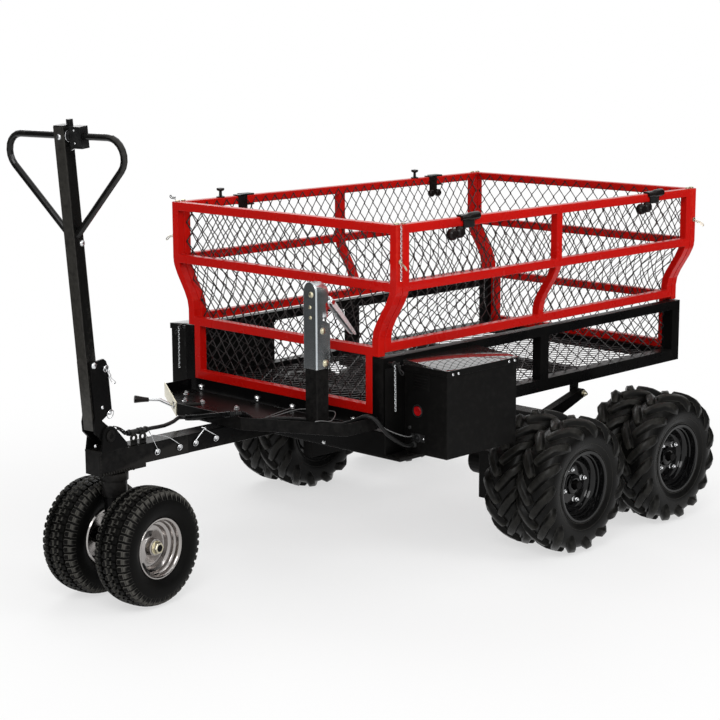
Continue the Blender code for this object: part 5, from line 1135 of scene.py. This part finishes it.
tray = {
    "floor": 0.433,
    "nuts": ((-0.071, 0.3296), (-0.1379, 0.2558), (-0.1212, 0.1974), (-0.108, 0.0645)),
    "frontNut": (-0.1707, 0.3541),
    "railBolts": ((0.3422, 0.4434), (0.0943, 0.4443), (-0.0529, 0.4412), (-0.2989, 0.4403)),
    "edge": ((-0.271, 0.133), (0.549, 0.836), (-0.836, 0.549), 0.448),   # start of the slanting edge, along it, out of it, the rod's height
    "rodAlong": 0.055,   # from the edge's start
    "rod": 0.005,       # its radius
    "cable": 0.0013,     # radius of the thin cables
    "cables": (
        ((-0.19, -0.118, 0.4405), (-0.11, -0.098, 0.438), (-0.03, -0.115, 0.447), (-0.01, -0.18, 0.45), (-0.014, -0.225, 0.456),
         (-0.03, -0.256, 0.459), (-0.07, -0.292, 0.457), (-0.122, -0.327, 0.46), (-0.156, -0.327, 0.4668), (-0.1734, -0.3224, 0.4668)),
        ((-0.004, -0.29, 0.446), (-0.018, -0.33, 0.4375), (-0.0353, -0.3796, 0.4405), (-0.04, -0.401, 0.467), (-0.028, -0.416, 0.454),
         (0.000, -0.433, 0.43), (0.05, -0.447, 0.408), (0.0795, -0.447, 0.405)),
        ((-0.196, -0.116, 0.442), (-0.14, -0.09, 0.4365), (-0.08, -0.07, 0.436), (-0.004, -0.065, 0.442)),
    ),
    "leads": (           # from the connector to the handle's foot
        ((-0.569, -0.01, 0.456), (-0.588, -0.008, 0.47), (-0.612, -0.012, 0.479)),
        ((-0.569, -0.0145, 0.455), (-0.59, -0.019, 0.464), (-0.611, -0.016, 0.472)),
    ),
    "collars": (-0.56, -0.53, -0.52, -0.505),   # of the connector
}


def makeTrayParts():
    bm = bmesh.new()
    for x, y in tray["nuts"]:
        addHexBolt(bm, (at(x), y, tray["floor"]), (0, 0, 1), 0.008)
    addHexBolt(bm, (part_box("front_crossmember")[0][0], *tray["frontNut"]), (-1, 0, 0), 0.005)
    place("trayNuts", bm, "brightSteel", "chassis")
    bm = bmesh.new()
    for y, z in tray["railBolts"]:
        addHexBolt(bm, (at(0), y, z), (-1, 0, 0), 0.0078)
    place("railBolts", bm, "brightSteel", "bed")
    bm = bmesh.new()
    for route in tray["cables"]:
        addTube(bm, smoothPath(fromBed(route), 5), tray["cable"])
    place("signalCables", bm, "greyCable", "chassis")
    bm = bmesh.new()
    for route in tray["leads"]:
        addTube(bm, smoothPath(fromBed(route)), tray["cable"])
    for x in tray["collars"]:
        addTurned(bm, mm((7.4, -2.2), (9, -1.8), (9, 1.8), (7.4, 2.2)), (at(x), -0.012, 0.4523), (1, 0, 0))
    place("connectorLeads", bm, "cableSheath", "chassis")


def makeDumpLatch():
    (x, y), run, out, z = tray["edge"]
    run, out, rise = Vector((*run, 0)), Vector((*out, 0)), Vector((0, 0, 0.02))
    through = Vector((at(x), y, z)) + run * tray["rodAlong"]
    end = through + out * 0.074 + rise
    bend = [through + out * reach + rise * lift for reach, lift in ((0.001, 0), (0.01, 0.04), (0.034, 0.66), (0.046, 0.92), (0.08, 1.04))]
    bm = bmesh.new()
    addTube(bm, smoothPath(bend, 5), tray["rod"], 14)
    place("latchRod", bm, "brightSteel", "dump_latch", ("dump_latch_lever",))
    bm = bmesh.new()
    addTube(bm, [through - out * 0.075, through + out * 0.001], tray["rod"], 14)
    place("latchRodInside", bm, "blackPaint", "dump_latch")
    bm = bmesh.new()
    grip = mm((5.2, 0), (6.2, 0.6), (6.6, 4), (7.2, 12), (8.8, 24), (10.4, 34), (11.1, 39), (10.4, 41.4), (8, 42), (0, 42.2), (0, 0.6))
    addTurned(bm, grip, end, out + rise * 4.5, 28, closed=False)
    place("latchGrip", bm, "dippedBlack", "dump_latch")
    bm = bmesh.new()
    addTurned(bm, mm((5.3, 0), (10.5, 0), (10.5, 1.2), (5.3, 1.2)), through + out * 0.003, out, 24)
    place("latchGrommet", bm, "mouldedBlack", "chassis")


makeTrayParts()
makeDumpLatch()
print("tray")


# Battery boxes: port, vents, screws and bracket plates

boxParts = {
    "front": at(0.08),
    "slope": 0.0162,       # rise of the lid's top towards the bed
    "vent": (0.447, 0.509, 0.536, 0.583),
    "port": (-0.447, -0.486, 0.402),
    "switch": (-0.464, 0.4765),
    "skirt": ((0.1001, 0.59), (0.123, 0.59), (0.3361, 0.593), (0.3605, 0.593)),
    "loomEntry": (-0.452, 0.381),
    "cableEntries": ((-0.447, 0.405), (-0.436, 0.427)),
}


def makeVentCover(tag, side):
    front = boxParts["front"]
    near, far, low, high = boxParts["vent"]
    y0, y1 = sorted((near * side, far * side))
    bm = bmesh.new()
    addBox(bm, (front - 0.0014, y0, low), (front, y1, high), 0.0005)
    for n in range(5):
        z = low + 0.0075 + n * (high - low - 0.015) / 4
        addBox(bm, (front - 0.003, y0 + 0.006, z - 0.0014), (front - 0.001, y1 - 0.006, z + 0.0014), 0.0005)
    place("ventCover_" + tag, bm, "satinBlack", "chassis")


def makeLidParts(tag, side):
    (x0, y0, _), (x1, y1, top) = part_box("battery_lid_" + tag)
    outer, inner = (y0, y1) if side < 0 else (y1, y0)
    bm = bmesh.new()
    for x, z in boxParts["skirt"]:
        addDomeBolt(bm, (at(x), outer, z), (0, side, 0), 0.0042)
    place("lidScrews_" + tag, bm, "brightSteel", "chassis")
    bm = bmesh.new()   # the lid's top slopes up to the bed
    plan = ((x0, outer, 0.0012), (x1, outer, 0.0012), (x1, inner, boxParts["slope"]), (x0, inner, boxParts["slope"]))
    crown = addLoft(bm, [[(x, y, top + 0.0003) for x, y, _ in plan], [(x, y, top + rise) for x, y, rise in plan]])[1]
    rim = [edge for edge in bm.edges if all(vert in crown for vert in edge.verts)]
    bmesh.ops.bevel(bm, geom=rim, offset=0.0007, segments=2, affect="EDGES", profile=0.5)
    place("lidCrown_" + tag, bm, "lidGloss", "chassis")


def makeBoxBracket(tag, side):  # plate that carries the box off the frame
    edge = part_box("battery_box_" + tag)[1 if side < 0 else 0][1]
    a, b = sorted((edge - side * 0.0012, edge - side * 0.004))
    bm = bmesh.new()
    addBox(bm, (at(0.004), a, 0.362), (boxParts["front"] + 0.004, b, 0.597), 0.0008)
    place("boxBracket_" + tag, bm, "satinBlack", "chassis")


def makeBoxFittings():  # on the near box: bezel of the switch, charging port, and where the cables go in
    front, out = boxParts["front"], (-1, 0, 0)
    a, b, height = boxParts["port"]
    middle = (a + b) / 2
    bm = bmesh.new()
    addTurned(bm, mm((15.6, 0), (18, 0), (18, 1), (17.2, 2.2), (16.2, 2.4), (15.6, 2)), (front, *boxParts["switch"]), out, 36)
    addTurned(bm, mm((0, 0), (12, 0), (12, 4.6), (10.5, 5.8), (8.8, 5.8), (8.8, 1.6), (0, 1.6)), (front, middle, height), out, 30)
    addBox(bm, (front - 0.0022, b - 0.0055, height - 0.0105), (front, a + 0.0055, height + 0.0105), 0.001)
    addTurned(bm, mm((5.6, 0), (8.8, 0), (8.8, 3), (7, 6.2), (5.6, 6.2)), (front, *boxParts["loomEntry"]), out, 22)
    for entry in boxParts["cableEntries"]:
        addTurned(bm, mm((1.7, 0), (5.2, 0), (5.2, 2.2), (3.6, 4.4), (1.7, 4.4)), (front, *entry), out, 22)
    place("boxFittings", bm, "mouldedBlack", "chassis")
    bm = bmesh.new()
    for y in (a + 0.001, b - 0.001):
        addDomeBolt(bm, (front - 0.0022, y, height), out, 0.003)
    for n in range(3):
        t = math.radians(90 + 120 * n)
        addDisc(bm, 0.0014, 0.0036, (front - 0.0014, middle + 0.0042 * math.cos(t), height + 0.0042 * math.sin(t)), out, 12)
    place("portPins", bm, "brightSteel", "chassis")


def makeBoxParts():
    for tag, side in sides:
        makeVentCover(tag, side)
        makeLidParts(tag, side)
        makeBoxBracket(tag, side)
    makeBoxFittings()


makeBoxParts()
print("boxes")


# Bed: rail clamp knobs, corner pins on chains, hinge nuts

bedParts = {
    "rail": (0.46, 0.992),     # outer face and top of the top rails
    "clamps": (0.29, 1.17),
    "corners": ((0.0125, 1), (1.3915, -1)),   # place, and which way is inward
    "sidePin": 0.893,            # height of the pins through the corner posts
    "chain": 0.0062,
    "hangers": ((0.448, 0.612), (0.45, 0.486)),   # ends of the lower chain
}


def addChain(bm, start, end):
    start, end = Vector(start), Vector(end)
    pitch = bedParts["chain"]
    count = int((end - start).length / pitch)
    run = (end - start).normalized()
    for n in range(count):
        across = Vector((1, 0, 0)) if n % 2 else Vector((0, 1, 0))
        addTube(bm, loop(10, start.lerp(end, (n + 0.5) / count), run * pitch * 0.76, across * 0.0024), 0.00085, 5, closed=True)


def addPin(bm, spot, axis, length, radius):
    addTurned(bm, [(0, -length), (radius * 0.8, -length), (radius, -length + 0.002), (radius, 0), (radius * 1.9, 0.0003), (radius * 1.9, 0.0032),
                   (radius * 1.5, 0.0042), (0, 0.0042)], spot, axis, 18)


def addNearClamp(bm, x):  # barrel along the rail, a two-lobed knob under it
    rail, top = bedParts["rail"]
    barrel = mm((0, -36), (7, -35), (8.5, -28), (8, -14), (10.5, -10), (12.2, 0), (12.2, 28), (10.8, 36), (0, 38))
    addTurned(bm, barrel, (x + 0.004, -rail - 0.002, top - 0.0005), (1, 0, 0.05), 16)
    y = 0.004 - rail
    for lobe in (-1, 1):
        knob = mm((0, 0), (12, 0), (16, 3), (16.8, 8), (15.5, 17), (11, 21.5), (0, 22.5))
        addTurned(bm, knob, (x - 0.058 + lobe * 0.0145, y, top - 0.041 + lobe * 0.002), (0.1 * lobe, -1, 0), 16)
    addBox(bm, (x - 0.07, y - 0.0025, top - 0.047), (x - 0.01, y + 0.0025, top - 0.03), 0.001)


def addFarClamp(bm, x):  # knob on a stem inside the rail, a strap down the rail's inner face with a two-lobed knob
    rail, top = bedParts["rail"]
    inner = rail - 0.025
    stem = mm((0, 0), (13, 0), (13, 3), (5, 6), (4.5, 18), (11, 21.5), (12.5, 25), (11.5, 28.5), (0, 30))
    addTurned(bm, stem, (x - 0.107, inner + 0.012, top), (0, 0, 1))
    addBox(bm, (x - 0.046, inner - 0.004, top - 0.052), (x - 0.01, inner - 0.0004, top + 0.004), 0.001)
    addBox(bm, (x - 0.046, inner - 0.004, top + 0.0005), (x - 0.01, rail - 0.002, top + 0.004), 0.001)
    for lobe in (-1, 1):
        knob = mm((0, 0), (10.5, 0), (12.5, 3), (12.5, 12), (10, 15.5), (0, 16))
        addTurned(bm, knob, (x - 0.03 + lobe * 0.0165, inner - 0.003, top - 0.054), (0, -1, 0), 16)


def makeCornerParts(tag, side):
    rail, top = bedParts["rail"]
    height = bedParts["sidePin"]
    chain, clips, pins = bmesh.new(), bmesh.new(), bmesh.new()
    for corner, inward in bedParts["corners"]:
        x = at(corner)
        addPin(pins, (x, side * (rail - 0.012), top + 0.0005), (0, 0, 1), 0.01, 0.004)
        addPin(pins, (x + inward * 0.024, side * (rail - 0.01), top + 0.0005), (0, 0, 1), 0.01, 0.0036)
        addPin(pins, (x, side * (rail + 0.0004), height), (0, side, 0), 0.01, 0.0034)
        addClip(pins, (x, side * (rail + 0.004), height), (-0.3 * inward, side * 0.9, -0.35), (0, 0.3 * side, -1), 0.03, 0.0013)
    x = at(bedParts["corners"][0][0])
    addClip(chain if side < 0 else clips, (x + 0.004, side * (rail + 0.001), top + 0.006), (0, side, 0.05), (0, 0, 1), 0.026, 0.0013)
    addChain(chain, (x, side * (rail + 0.005), top - 0.002), (x, side * (rail + 0.005), 0.842))
    addChain(chain, *[(x - 0.006, side * y, z) for y, z in bedParts["hangers"]])
    addClip(clips, (x, side * 0.45, 0.618), (0, side * 0.4, -0.9), (0, side, 0.3), 0.034, 0.0015)
    addPin(clips, (x, side * 0.438, 0.6135), (0, side, 0), 0.02, 0.0042)
    place("cornerChains_" + tag, chain, "zincPlate", "bed")
    place("cornerClips_" + tag, clips, "mouldedBlack", "bed")
    place("cornerPins_" + tag, pins, "yellowZinc", "bed")


def makeBedParts():
    for tag, side in sides:
        bm = bmesh.new()
        for x in map(at, bedParts["clamps"]):
            (addNearClamp if side < 0 else addFarClamp)(bm, x)
        place("clampKnobs_" + tag, bm, "dippedBlack", "bed")
        makeCornerParts(tag, side)
        spot, out = pivots["bed_dump"], (0, side, 0)
        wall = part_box("rear_subframe")[0 if side < 0 else 1][1]
        bm = bmesh.new()
        addTurned(bm, mm((0, 0), (11, 0), (11, 3), (8, 5.2), (0, 5.2)), (spot.x, wall, spot.z), out)
        addHexBolt(bm, (spot.x, wall + side * 0.005, spot.z), out, 0.0085)
        place("hingeNuts_" + tag, bm, "yellowZinc", "chassis")


makeBedParts()
print("bed")
